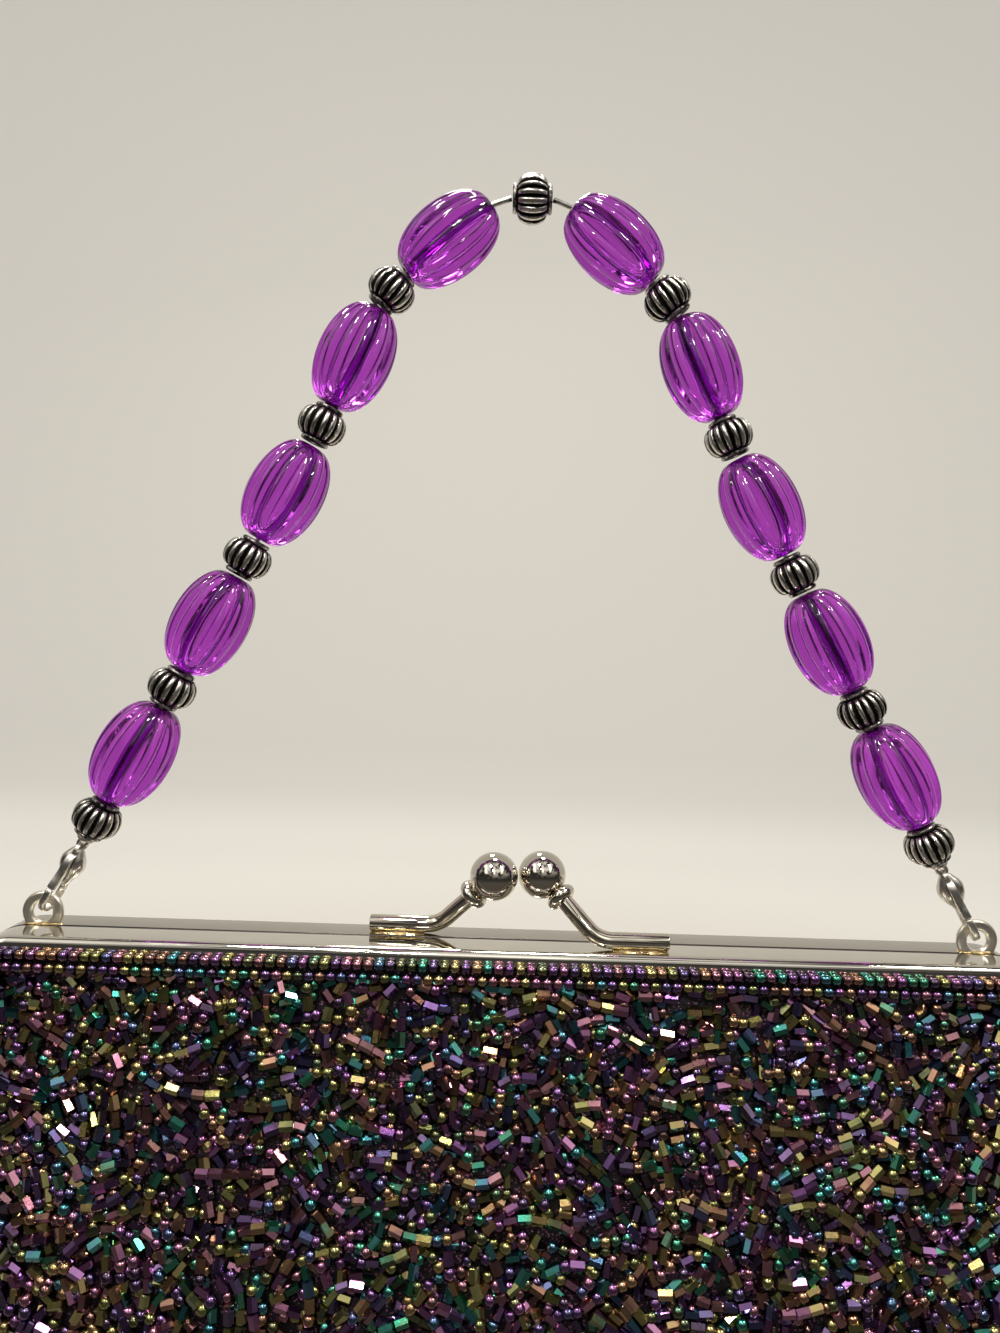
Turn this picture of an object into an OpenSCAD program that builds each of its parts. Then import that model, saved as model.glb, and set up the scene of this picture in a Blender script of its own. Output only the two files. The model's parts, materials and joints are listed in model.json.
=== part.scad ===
// Evening clutch: a beaded pouch on a kiss-lock frame, hung by a beaded strap.
// Millimetres. X runs along the frame, the front faces -Y, and the pouch stands on z = 0.

/* [Frame] */
// Width of the closed frame over its arms
frame_w = 220; // [190:1:250]
// Depth of the closed frame, front to back
frame_depth = 19; // [18:0.5:24]
// Height of the frame's top face above the base of the pouch
frame_top_h = 140; // [125:1:170]
// Height of the lips that grip the cloth
channel_h = 3; // [2.6:0.1:5]
// Thickness of the frame's sheet metal
frame_t = 0.8; // [0.6:0.1:1]
// Radius of the frame's upper corners
corner_r = 12; // [9:0.5:16]
// Rounding of the frame's outer edges
edge_r = 1.5; // [1:0.1:2.2]
// Gap between the two halves of the closed frame
split_gap = 0.5; // [0.2:0.05:0.7]
// Height of the arms, from the frame's top face down to the rivets
arm_h = 46; // [38:1:60]
// Radius of the ears that the rivets join
ear_r = 4.5; // [3.5:0.1:6]
// Radius of a rivet's shank
rivet_r = 1.2; // [0.8:0.1:1.6]
// Radius of a rivet's head
rivet_head_r = 2.3; // [2:0.1:3]
// Height of a rivet's head
rivet_head_h = 0.7; // [0.4:0.1:1]
// Radius of the paper cord that wedges the cloth in the channel
cord_r = 1; // [0.6:0.1:1.3]

/* [Kiss lock] */
// Diameter of a lock ball
ball_d = 9.8; // [8:0.1:12]
// Play between the two balls as they pass
ball_play = 0.1; // [0.05:0.05:0.3]
// Place of the lock's middle, right of the frame's middle
lock_x = 1.35; // [-5:0.05:5]
// Height of the balls' centres above the frame's top face
ball_h = 13.1; // [11:0.1:18]
// How far each ball crosses past the split, over the other half
ball_cross_y = 1.5; // [0.5:0.1:3]
// Diameter of a lock rod
rod_d = 3.4; // [2.4:0.1:4]
// Length of the rod's foot that is soldered to the frame
rod_foot_len = 14.2; // [10:0.1:20]
// Distance along the frame from a rod's bend to its ball's centre
rod_reach = 11.2; // [9:0.1:15]
// Distance of the back rod's foot behind the split
back_rod_y = 3; // [2.5:0.1:6]
// Distance of the front rod's foot before the split
front_rod_y = 5.4; // [2.5:0.1:6]
// Outer diameter of the collar under a ball
collar_d = 6.4; // [5:0.1:8]
// Thickness of the collar
collar_t = 2.6; // [1.5:0.1:2.9]
// Thickness of the solder under a rod
solder_t = 0.15; // [0.1:0.05:0.3]
// Height of the solder's fillet
solder_h = 0.8; // [0.5:0.1:1.2]
// Width of the solder's fillet
solder_w = 4.3; // [3.8:0.1:5]

/* [Rings] */
// Distance of each ring's centre in from the frame's side
ring_side_gap = 13.8; // [13:0.1:20]
// Outer radius of a ring
ring_r = 4.25; // [3.5:0.05:5.5]
// Radius of a ring's hole
ring_hole_r = 2; // [1.8:0.05:2.6]
// Thickness of a ring
ring_t = 1.3; // [1:0.1:1.6]
// Bevel of a ring's edges
ring_edge = 0.4; // [0.2:0.05:0.45]
// Height of a ring's centre above the frame's top face
ring_h = 2.5; // [2.2:0.1:4]
// Distance of a ring's middle behind the split
ring_y = 1.3; // [1.1:0.1:4]

/* [Strap] */
// Length of an oval bead
oval_len = 22; // [16:0.5:28]
// Diameter of an oval bead
oval_d = 15.5; // [12:0.5:18]
// Radius of an oval bead's pole face
oval_pole_r = 1.5; // [1.3:0.1:2]
// Flutes round an oval bead
oval_flutes = 13; // [10:1:16]
// Depth of a flute, as a share of the radius
flute_share = 0.1; // [0.04:0.01:0.16]
// Length of a spacer bead
spacer_len = 8.1; // [6:0.1:11]
// Diameter of a spacer bead
spacer_d = 10; // [8:0.1:12]
// Radius of a spacer's rim
spacer_rim_r = 2.5; // [2:0.1:3]
// Ribs round a spacer bead
spacer_ribs = 16; // [12:1:18]
// Depth of the groove between ribs, as a share of the radius
groove_share = 0.13; // [0.04:0.01:0.2]
// Radius of the hole through a bead
bead_bore_r = 0.85; // [0.75:0.05:1.1]
// Radius of the stringing wire
wire_r = 0.55; // [0.4:0.05:0.6]
// Gap that lets one bead tilt on the next
bead_gap = 0.45; // [0.4:0.05:0.8]
// Slope of the highest oval beads, where the strap bends over its crown
crown_oval_a = 40.5; // [35:0.5:45]
// Slope of the highest spacers
crown_spacer_a = 53; // [48:0.5:57]
// Spare wire on each side of the crown's spacer
crown_slack = 3.5; // [0:0.1:5]
// Slope of the pair of beads below the highest pair
shoulder_a = 66.5; // [60:0.5:70]

/* [Clasp] */
// Distance from the ring's rim to the first spacer
clasp_run = 14.9; // [14.5:0.1:18]
// Half the thickness of the hook's bar
hook_r = 0.6; // [0.5:0.05:0.65]
// Width of the hook's bar
hook_w = 1.7; // [1.4:0.1:1.8]
// Radius of the hook's bend
hook_bend_r = 2.4; // [2.3:0.05:2.6]
// Largest radius of the clasp's body
clasp_r = 2.7; // [2.4:0.05:2.9]
// Height of the eye's centre above the ring's rim
eye_z = 11.4; // [11.2:0.1:11.6]
// Outer radius of the eye
eye_r = 1.7; // [1.6:0.05:1.85]
// Radius of the eye's hole
eye_hole_r = 1.1; // [1.05:0.05:1.2]
// Thickness of the eye
eye_t = 0.8; // [0.6:0.1:0.9]
// Thickness of the lever
lever_t = 1.6; // [1:0.1:1.8]
// Radius of the lever's pin
pin_r = 0.35; // [0.25:0.05:0.45]
// Turn of the clasp about the strap's line
clasp_turn = 8; // [0:1:10]
// Radius of the neck loop's wire
loop_wire_r = 0.4; // [0.3:0.05:0.45]
// Radius of the neck loop's bend
loop_r = 1.4; // [1.35:0.05:1.5]
// Thickness of the plate that closes the neck loop
loop_plate_t = 0.95; // [0.6:0.05:1.2]
// Radius of the plate that closes the neck loop
loop_plate_r = 1.9; // [1.85:0.05:2.3]

/* [Pouch] */
// Greatest width of the pouch
pouch_w = 230; // [222:1:270]
// Greatest depth of the pouch
pouch_depth = 45; // [36:1:60]
// Thickness of the beaded cloth
cloth_t = 2; // [1.5:0.1:2.5]
// Thickness of the stiffening boards
board_t = 1; // [0.6:0.1:1.2]
// Thickness of the lining
lining_t = 0.8; // [0.4:0.1:1]
// Width of the stiffening boards in the front and back
board_w = 170; // [120:1:180]
// Gap that keeps one layer of cloth off the next
layer_gap = 0.3; // [0.2:0.05:0.4]

/* [Hidden] */
$fn = 48;
LEFT = -1;
RIGHT = 1;
LEVELS = 5;
// Steps of a small arc and of a rod's bend, sides of a bent tube, and rings along the two kinds of bead
ARC_STEPS = 8;
BEND_STEPS = 5;
TUBE_SIDES = 16;
OVAL_STACKS = 10;
SPACER_STACKS = 6;

// One overrun for every cut, and one box larger than the bag
overrun = 1;
reach = 2 * (frame_w + frame_top_h);

// Frame
frame_top = frame_top_h;
hinge_z = frame_top - arm_h;
half_in = split_gap / 2;
half_out = frame_depth / 2;
// Play between the two ears, and of a rivet in its holes
ear_play = 0.1;
rivet_play = 0.05;
// Gap between an ear and the end of the arm that passes it
ear_gap = 1.5;
arm_end_z = hinge_z + ear_r + ear_gap;
arm_len = frame_top - corner_r - arm_end_z;
// Length of the front ear that is brazed inside its arm
ear_lap_h = 5;
cord_play = 0.2;
cord_depth = frame_t + cord_play + cord_r;
cord_y = half_in + frame_t + cord_play + cord_r;

// Kiss lock
rod_r = rod_d / 2;
ball_r = ball_d / 2;
foot_z = frame_top + solder_t + rod_r;
ball_dx = (ball_d + ball_play) / 2;
// Radius of a rod's bend, at the middle of the rod
bend_r = 6;
// Gap between the collar and its ball
collar_gap = 0.1;

// Rings and the strap's line. Angles are slopes below the horizontal, going outwards.
ring_x = frame_w / 2 - ring_side_gap;
ring_z = frame_top + ring_h;
rim_mid_r = (ring_r + ring_hole_r) / 2;
// Gap between the crown's wire and the next
wire_gap = 0.3;
crown_wire_a = crown_oval_a / 2;
bend_gap = bead_gap + oval_pole_r * sin(max(crown_spacer_a - crown_oval_a, shoulder_a - crown_spacer_a));
crown_gap = bead_gap + crown_slack + oval_pole_r * sin(crown_oval_a);
crown_run = spacer_len / 2 + crown_gap * cos(crown_wire_a) + (oval_len + bend_gap) * cos(crown_oval_a)
    + (spacer_len + bend_gap) * cos(crown_spacer_a)
    + (oval_len + bead_gap + spacer_len + bend_gap) * cos(shoulder_a);
straight_len = (LEVELS - 2) * (oval_len + spacer_len) + (2 * LEVELS - 5) * bead_gap
    + clasp_run + rim_mid_r;
slope = acos((ring_x - crown_run) / straight_len);

// Pieces of one strand, from the crown outwards: odd ones are spacers
PIECES = 2 * LEVELS;
function is_spacer(k) = k % 2 == 1;
function piece_len(k) = is_spacer(k) ? spacer_len : oval_len;
function piece_slope(k) = k == 0 ? crown_oval_a : k == 1 ? crown_spacer_a : k < 4 ? shoulder_a : slope;
function slope_before(k) = k == 0 ? crown_wire_a : piece_slope(k - 1);
function bends_before(k) = k < 5 && k != 3;
function gap_before(k) = k == 0 ? crown_gap : bends_before(k) ? bend_gap : bead_gap;
function down(a) = [cos(a), -sin(a)];
function piece_start(k) = piece_end(k - 1) + gap_before(k) * down(slope_before(k));
function piece_end(k) = k < 0 ? [spacer_len / 2, 0]
    : piece_start(k) + piece_len(k) * down(piece_slope(k));
function piece_mid(k) = (piece_start(k) + piece_end(k)) / 2;
function pivot_before(k) = piece_start(k) - gap_before(k) / 2 * down(slope_before(k));
rim_point = piece_end(PIECES - 1) + clasp_run * down(slope);
rim_z = ring_z + rim_mid_r * sin(slope);
crown_z = rim_z - rim_point.y;

// Clasp, in the plane of its hook: x towards the spine, y up the strap from the ring's rim
hook_tip_z = 2.4;
lever_gap = 0.15;
lever_r = 0.6;
// The lever's tip stops short of the hook's, so that it can swing past it
tip_gap = 0.45;
lever_tip = [-hook_bend_r, hook_tip_z + tip_gap + lever_r];
lever_pin = [0.3, 9.2];
lever_boss_r = 0.9;
fin_root = [-0.8, 8.2];
fin_tip = [-2.3, 8.6];
fin_r = 0.5;
// The body is a lens about its middle, trimmed to a drop from its heel to its neck
body_mid = [0.8, 8.4];
body_mid_r = 1.9;
body_heel = [2.15, 3.9];
body_heel_r = 0.85;
body_neck = [0, 10.3];
body_neck_r = 0.75;
lens_r = 6;
slot_t = lever_t + 2 * lever_gap;
slot_floor_x = 1.6;
slot_top_z = lever_pin.y + lever_boss_r + lever_gap;
pin_play = 0.05;
spring_t = 0.25;
spring_w = 0.9;
spring_low = [0.75, 4.6];
spring_high = [1.35, 8.3];
// Height of the neck loop's wire above the middle of the eye, where the clasp hinges
loop_seat = 0.45;
eye_pivot_z = eye_z + loop_seat;
plate_gap = 0.05;

// Pouch: the cloth lies in the channels at the top and swells below the lips
channel_play = 0.3;
lip_z = frame_top - channel_h - channel_play;
cloth_top = frame_top - frame_t - channel_play;
tuck_y = half_out - frame_t - channel_play;
// The pouch is narrower between the arms, and narrower again between the frame's corners
arm_play = 1;
shoulder_w = frame_w / 2 - channel_h - arm_play;
neck_w = frame_w / 2 - corner_r;
// The front opens down to this height below the rivets
seam_drop = 8;
seam_z = hinge_z - seam_drop;
seam_gap = 0.4;
// The mouth's cut runs behind the paper cord, so the layers end short of it
mouth_y = cord_y + cord_r + channel_play;
ring_points = 40;
// Roundness of the plan: 1 is an ellipse, and less is squarer
plan_power = 0.5;
// Rows: height as a share of the lips' height, swell as a share of the pouch's depth beyond the
// frame's, spread as a share of its width beyond the shoulders'
pouch_shares = [
    [0, 0.6, 0.45], [0.025, 0.8, 0.68], [0.07, 0.93, 0.86], [0.16, 1, 1], [0.3, 0.99, 1],
    [0.42, 0.92, 0.84], [0.53, 0.8, 0.42], [0.615, 0.67, 0], [0.74, 0.46, 0],
    [0.86, 0.27, 0], [0.96, 0.12, 0]
];
board_inset = cloth_t + layer_gap;
lining_inset = board_inset + board_t + layer_gap;
// Margin of the boards inside the pouch's edges, and of the front and back boards off its middle
board_margin = 10;
board_edge_y = 5;

// Colours
NICKEL = [0.78, 0.76, 0.72];
ANTIQUE = [0.5, 0.5, 0.5];
GOLD_SOLDER = [0.75, 0.66, 0.42];
VIOLET = [0.5, 0.1, 0.62];
PLUM = [0.2, 0.08, 0.24];
LINING = [0.12, 0.06, 0.14];
CARD = [0.6, 0.52, 0.4];

// General shapes

function unit(v) = v / norm(v);

// A straight round rod between two points
module rod_between(a, b, r) {
    d = unit(b - a);
    translate(a) rotate([0, acos(d.z), atan2(d.y, d.x)]) cylinder(h = norm(b - a), r = r);
}

// A round tube through points of one plane, whose unit normal is across
function tube_dir(points, k) = unit(
    (k > 0 ? unit(points[k] - points[k - 1]) : [0, 0, 0])
    + (k < len(points) - 1 ? unit(points[k + 1] - points[k]) : [0, 0, 0]));
function tube_rings(points, r, across) = [for (k = [0 : len(points) - 1])
    let (v = cross(tube_dir(points, k), across))
    [for (i = [0 : TUBE_SIDES - 1]) let (a = 360 * i / TUBE_SIDES)
        points[k] + r * (cos(a) * across + sin(a) * v)]];
module tube(points, r, across) {
    ring_solid(tube_rings(points, r, across));
}

// The outline round two circles, as a polygon
function arc_points(c, r, from, to) =
    [for (i = [0 : ARC_STEPS]) let (a = from + (to - from) * i / ARC_STEPS) c + r * [cos(a), sin(a)]];
function belt_points(c1, r1, c2, r2) =
    let (d = c2 - c1, lean = atan2(d.y, d.x), grip = acos((r1 - r2) / norm(d)))
    concat(arc_points(c1, r1, lean + grip, lean + 360 - grip),
           arc_points(c2, r2, lean - grip, lean + grip));

// A closed solid through a list of rings with equal counts of points
module ring_solid(rings) {
    n = len(rings[0]);
    m = len(rings);
    sides = [for (j = [0 : m - 2], i = [0 : n - 1]) let (
            a = j * n + i, b = j * n + (i + 1) % n, c = a + n, d = b + n)
        each [[a, c, d], [a, d, b]]];
    caps = [[for (i = [0 : n - 1]) i], [for (i = [n - 1 : -1 : 0]) (m - 1) * n + i]];
    polyhedron(points = [for (ring = rings) each ring], faces = concat(sides, caps));
}

// Beads

// A ribbed bead along Z, centred, with a pole face at each end and a hole through it
module ribbed_bead(length, dia, pole_r, ribs, depth_share, stacks) {
    difference() {
        ring_solid([for (k = [0 : stacks]) let (
                u = -cos(180 * k / stacks), bulge = sqrt(max(0, 1 - u * u)),
                r = pole_r + (dia / 2 - pole_r) * bulge)
            [for (i = [0 : 2 * ribs - 1]) let (
                    a = 180 * i / ribs, rr = i % 2 == 0 ? r : r * (1 - depth_share * bulge))
                [rr * cos(a), rr * sin(a), u * length / 2]]]);
        cylinder(h = length + overrun, r = bead_bore_r, center = true);
    }
}

module oval_bead() {
    ribbed_bead(oval_len, oval_d, oval_pole_r, oval_flutes, flute_share, OVAL_STACKS);
}

module spacer_bead() {
    ribbed_bead(spacer_len, spacer_d, spacer_rim_r, spacer_ribs, groove_share, SPACER_STACKS);
}

// Puts a child at a point of one strand, with its Z axis up the strand
module on_strand(side, point, a) {
    translate([side * point.x, ring_y, crown_z + point.y])
        rotate([0, side * (a - 90), 0]) children();
}

module oval(side, level) {
    k = 2 * (LEVELS - level);
    color(VIOLET) on_strand(side, piece_mid(k), piece_slope(k)) oval_bead();
}

module spacer(side, level) {
    k = 2 * (LEVELS - level) + 1;
    color(ANTIQUE) on_strand(side, piece_mid(k), piece_slope(k)) spacer_bead();
}

module crown_spacer() {
    color(ANTIQUE) translate([0, ring_y, crown_z]) rotate([0, 90, 0]) spacer_bead();
}

module crown_wire() {
    color(NICKEL) translate([0, ring_y, crown_z]) rotate([0, 90, 0])
        cylinder(h = spacer_len, r = wire_r, center = true);
}

function strap_point(side, p) = [side * p.x, ring_y, crown_z + p.y];

// The stringing wire of one level: through its oval and its spacer, on both sides. The highest one
// starts at the crown's spacer, where it lies on the line that the strap swings about.
module strap_wire(level) {
    k = 2 * (LEVELS - level);
    crown_end = piece_end(-1) + [wire_gap, 0];
    bend = (piece_end(k) + piece_start(k + 1)) / 2;
    color(NICKEL) for (side = [LEFT, RIGHT])
        if (level == LEVELS)
            tube([for (p = [crown_end, piece_start(k), bend, piece_end(k + 1)]) strap_point(side, p)],
                wire_r, [0, 1, 0]);
        else
            rod_between(strap_point(side, piece_start(k)), strap_point(side, piece_end(k + 1)), wire_r);
}

// Clasp

module at_clasp(side) {
    on_strand(side, rim_point, slope) children();
}

// Turns a flat outline in the hook's plane up, with its thickness across the clasp
module in_hook_plane(t) {
    rotate([90, 0, 90]) linear_extrude(t, center = true) children();
}

// The loop of wire under the first spacer, and the plate that closes it
module neck_loop(side) {
    loop_z = eye_pivot_z + loop_r;
    plate_z = clasp_run - plate_gap - loop_plate_t;
    color(NICKEL) at_clasp(side) {
        translate([0, 0, loop_z]) rotate([-90, 0, 0])
            rotate_extrude(angle = 180) translate([loop_r, 0]) circle(r = loop_wire_r);
        for (x = [-loop_r, loop_r]) translate([x, 0, loop_z])
            cylinder(h = plate_z - loop_z, r = loop_wire_r);
        translate([0, 0, plate_z]) cylinder(h = loop_plate_t, r = loop_plate_r);
    }
}

// The clasp's body: a lens cut to a drop, slotted for the lever
module clasp_cheeks() {
    difference() {
        intersection() {
            in_hook_plane(2 * clasp_r) {
                polygon(belt_points(body_heel, body_heel_r, body_mid, body_mid_r));
                polygon(belt_points(body_neck, body_neck_r, body_mid, body_mid_r));
            }
            lens_ball(RIGHT);
            lens_ball(LEFT);
        }
        in_hook_plane(slot_t) polygon([[-reach, 0], [slot_floor_x, 0],
            [slot_floor_x, slot_top_z], [-reach, slot_top_z]]);
    }
}

// One of the two balls whose common part is the lens
module lens_ball(side) {
    translate([side * (lens_r - clasp_r), body_mid.x, body_mid.y]) sphere(r = lens_r);
}

// The hook's bar is flat with round edges: x along its thickness, y along its width
module hook_section() {
    edge = hook_w / 2 - hook_r;
    for (y = [-edge, edge]) translate([0, y]) circle(r = hook_r);
    square([2 * hook_r, 2 * edge], center = true);
}

module hook_bar(y, height) {
    translate([0, y, 0]) linear_extrude(height) rotate(90) hook_section();
}

module clasp_hook() {
    rotate([90, 0, 90]) rotate([0, 0, 180]) rotate_extrude(angle = 180)
        translate([hook_bend_r, 0]) hook_section();
    hook_bar(-hook_bend_r, hook_tip_z);
    hook_bar(hook_bend_r, body_heel.y);
}

module clasp_eye() {
    in_hook_plane(eye_t) difference() {
        translate([0, eye_z]) circle(r = eye_r);
        translate([0, eye_z]) circle(r = eye_hole_r);
        translate([-reach, -reach]) square([2 * reach, reach + slot_top_z]);
    }
}

module clasp_body(side) {
    color(NICKEL) at_clasp(side) rotate([0, 0, -clasp_turn]) {
        difference() {
            clasp_cheeks();
            in_hook_plane(2 * clasp_r + overrun) translate(lever_pin) circle(r = pin_r + pin_play / 2);
            in_hook_plane(2 * clasp_r + overrun) translate([0, eye_z]) circle(r = eye_hole_r);
        }
        clasp_eye();
        clasp_hook();
    }
}

module clasp_lever(side) {
    color(NICKEL) at_clasp(side) rotate([0, 0, -clasp_turn]) in_hook_plane(lever_t) difference() {
        union() {
            polygon(belt_points(lever_tip, lever_r, lever_pin, lever_boss_r));
            polygon(belt_points(fin_root, fin_r, fin_tip, fin_r));
        }
        translate(lever_pin) circle(r = pin_r + pin_play);
    }
}

module clasp_pins() {
    color(NICKEL) for (side = [LEFT, RIGHT]) at_clasp(side) rotate([0, 0, -clasp_turn])
        in_hook_plane(slot_t + lever_t) translate(lever_pin) circle(r = pin_r);
}

// The leaf spring behind the lever
module lever_spring(side) {
    color(NICKEL) at_clasp(side) rotate([0, 0, -clasp_turn]) in_hook_plane(spring_w)
        polygon([spring_low, spring_low + [spring_t, 0], spring_high + [spring_t, 0], spring_high]);
}

// Frame

// One half's section: x outwards from the corner's centre, y from the split
module frame_section() {
    inner_r = edge_r - frame_t;
    edge = [corner_r - edge_r, half_out - edge_r];
    polygon(concat(
        [[corner_r, half_in], [corner_r - channel_h, half_in],
         [corner_r - channel_h, half_in + frame_t], [corner_r - frame_t, half_in + frame_t]],
        arc_points(edge, inner_r, 0, 90),
        [[corner_r - channel_h, half_out - frame_t], [corner_r - channel_h, half_out]],
        arc_points(edge, edge_r, 90, 0)));
}

// Carries a section round the right corner and down the arm by a drop
module along_arm(drop) {
    translate([frame_w / 2 - corner_r, 0, frame_top - corner_r]) {
        rotate([90, 0, 0]) rotate_extrude(angle = 90) children();
        translate([0, 0, -drop]) mirror([0, 1, 0]) linear_extrude(drop) children();
    }
}

// Carries a section round the front half of the frame
module along_frame(drop = arm_len) {
    along_arm(drop) children();
    mirror([1, 0, 0]) along_arm(drop) children();
    translate([0, 0, frame_top - corner_r]) mirror([0, 1, 0]) rotate([0, -90, 0])
        linear_extrude(frame_w - 2 * corner_r, center = true) children();
}

// A plate across the frame's side at height hinge_z, drawn as [y, z] from the rivet
module side_plate(x, t) {
    translate([x, 0, hinge_z]) rotate([90, 0, 90]) linear_extrude(t) children();
}

module rivet_hole() {
    translate([frame_w / 2 - channel_h, 0, hinge_z]) rotate([0, 90, 0])
        cylinder(h = channel_h + overrun, r = rivet_r + rivet_play);
}

module back_ear() {
    arm_z = arm_end_z - hinge_z;
    side_plate(frame_w / 2 - frame_t, frame_t) {
        circle(r = ear_r);
        polygon([[0, 0], [ear_r, 0], [half_out - edge_r, arm_z], [half_in, arm_z]]);
    }
}

module front_ear() {
    arm_z = arm_end_z - hinge_z;
    outer = half_out - frame_t / 2;
    inner = half_in + frame_t / 2;
    side_plate(frame_w / 2 - 2 * frame_t - ear_play, frame_t) {
        circle(r = ear_r);
        polygon([[0, 0], [-ear_r, 0], [-outer, arm_z], [-outer, arm_z + ear_lap_h],
            [-inner, arm_z + ear_lap_h], [-inner, 0]]);
    }
}

module back_frame() {
    color(NICKEL) {
        mirror([0, 1, 0]) along_frame() frame_section();
        for (side = [0, 1]) mirror([side, 0, 0]) difference() {
            back_ear();
            rivet_hole();
        }
    }
}

module front_frame() {
    color(NICKEL) {
        along_frame() frame_section();
        for (side = [0, 1]) mirror([side, 0, 0]) difference() {
            front_ear();
            rivet_hole();
        }
    }
}

module hinge_rivets() {
    grip = 2 * frame_t + 2 * ear_play;
    color(NICKEL) for (side = [0, 1]) mirror([side, 0, 0])
        translate([frame_w / 2, 0, hinge_z]) rotate([0, 90, 0]) {
            cylinder(h = rivet_head_h, r1 = rivet_head_r, r2 = rivet_r);
            translate([0, 0, -grip]) cylinder(h = grip, r = rivet_r);
            translate([0, 0, -grip - rivet_head_h]) cylinder(h = rivet_head_h, r = rivet_head_r);
        }
}

// The cord that wedges the cloth in the channel, ending above the front ear's lap
module paper_cord() {
    color(CARD) along_frame(arm_len - ear_lap_h - cord_play)
        translate([corner_r - cord_depth, cord_y]) circle(r = cord_r);
}

// A ring soldered upright on the back half
module ring(side) {
    high = ring_t / 2;
    low = high - ring_edge;
    color(NICKEL) translate([side * ring_x, ring_y, ring_z]) rotate([90, 0, 0]) difference() {
        rotate_extrude() polygon([
            [ring_hole_r + ring_edge, -high], [ring_r - ring_edge, -high], [ring_r, -low], [ring_r, low],
            [ring_r - ring_edge, high], [ring_hole_r + ring_edge, high], [ring_hole_r, low],
            [ring_hole_r, -low]]);
        translate([-reach, -ring_h - reach, -reach]) cube([2 * reach, reach, 2 * reach]);
    }
}

// Kiss lock: the back half's rod stands left of the lock and the front half's right of it

function lock_side(back) = back ? LEFT : RIGHT;
function foot_y(back) = back ? back_rod_y : -front_rod_y;
function ball_at(back) =
    [lock_x + lock_side(back) * ball_dx, lock_side(back) * ball_cross_y, frame_top + ball_h];
function bend_at(back) = [ball_at(back).x + lock_side(back) * rod_reach, foot_y(back), foot_z];
function foot_at(back) = bend_at(back) + [lock_side(back) * rod_foot_len, 0, 0];
function rise(back) = unit(ball_at(back) - bend_at(back));
function foot_dir(back) = [-lock_side(back), 0, 0];
function bend_angle(back) = acos(foot_dir(back) * rise(back));
function bend_run(back) = bend_r * tan(bend_angle(back) / 2);

// Puts a child at a distance down the rod from its ball's centre, with Z along the rod
module down_rod(back, distance) {
    r = rise(back);
    translate(ball_at(back) - distance * r)
        rotate([0, acos(r.z), atan2(r.y, r.x)]) children();
}

// The rod: its foot, a round bend, and its rise to the ball's centre
module lock_rod_solid(back) {
    v = foot_dir(back);
    u = -unit(rise(back) - (rise(back) * v) * v);
    centre = bend_at(back) - bend_run(back) * v - bend_r * u;
    bend = [for (i = [0 : BEND_STEPS]) let (a = bend_angle(back) * i / BEND_STEPS)
        centre + bend_r * (cos(a) * u + sin(a) * v)];
    tube(concat([foot_at(back)], bend, [ball_at(back)]), rod_r, unit(cross(v, rise(back))));
}

module lock_rod(back) {
    color(NICKEL) difference() {
        lock_rod_solid(back);
        translate(ball_at(back)) sphere(r = ball_r);
    }
}

// The collar lies against the ball
module lock_collar(back) {
    wire = collar_t / 2;
    coil_r = collar_d / 2 - wire;
    from_ball = ball_r + collar_gap + wire;
    color(NICKEL) difference() {
        down_rod(back, sqrt(from_ball * from_ball - coil_r * coil_r)) rotate_extrude()
            translate([coil_r, 0]) circle(r = wire);
        down_rod(back, ball_d) cylinder(h = ball_d, r = rod_r);
    }
}

module lock_ball(back) {
    color(NICKEL) translate(ball_at(back)) sphere(r = ball_r, $fn = 64);
}

// The bead of solder between a rod's foot and the frame
module lock_solder(back) {
    length = rod_foot_len - bend_run(back);
    color(GOLD_SOLDER) difference() {
        translate([foot_at(back).x - (back ? 0 : length), foot_y(back) - solder_w / 2, frame_top])
            cube([length, solder_w, solder_h]);
        translate([foot_at(back).x - length - overrun, foot_y(back), foot_z]) rotate([0, 90, 0])
            cylinder(h = 2 * (length + overrun), r = rod_r);
    }
}

// Pouch

function half_depth(swell) = tuck_y + (pouch_depth / 2 - tuck_y) * swell;
function half_width(spread) = shoulder_w + (pouch_w / 2 - shoulder_w) * spread;
function plan_point(w, d, a) =
    [w * sign(cos(a)) * pow(abs(cos(a)), plan_power), d * sign(sin(a)) * pow(abs(sin(a)), plan_power)];
function plan_ring(w, d, z) =
    [for (i = [0 : ring_points - 1]) let (p = plan_point(w, d, 360 * (i + 0.5) / ring_points))
        [p.x, p.y, z]];

// The pouch's rings, drawn in by an inset, from the base to the edge in the channels
function pouch_rings(inset) = concat(
    [for (row = pouch_shares) let (w = half_width(row[2]), d = half_depth(row[1]))
        plan_ring(w - inset, d - inset, inset + row[0] * (lip_z - inset))],
    [for (z = [lip_z, cloth_top]) plan_ring(neck_w - inset, tuck_y - inset, z)]);
function turned(rings) = [for (i = [len(rings) - 1 : -1 : 0]) rings[i]];

// One layer of the pouch, with an open mouth
module pouch_layer(inset, t) {
    difference() {
        ring_solid(concat(pouch_rings(inset), turned(pouch_rings(inset + t))));
        translate([-reach, -mouth_y, lip_z]) cube([2 * reach, 2 * mouth_y, reach]);
    }
}

// The space of the front flap, above the seam and before the split
module flap_space(gap) {
    translate([-reach, -reach, seam_z + gap]) cube([2 * reach, reach - gap, reach]);
}

module layer_body(inset, t) {
    difference() {
        pouch_layer(inset, t);
        flap_space(-seam_gap / 2);
    }
}

module layer_flap(inset, t) {
    intersection() {
        pouch_layer(inset, t);
        flap_space(seam_gap / 2);
    }
}

module beaded_body() {
    color(PLUM) layer_body(0, cloth_t);
}

module beaded_front_panel() {
    color(PLUM) layer_flap(0, cloth_t);
}

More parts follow.
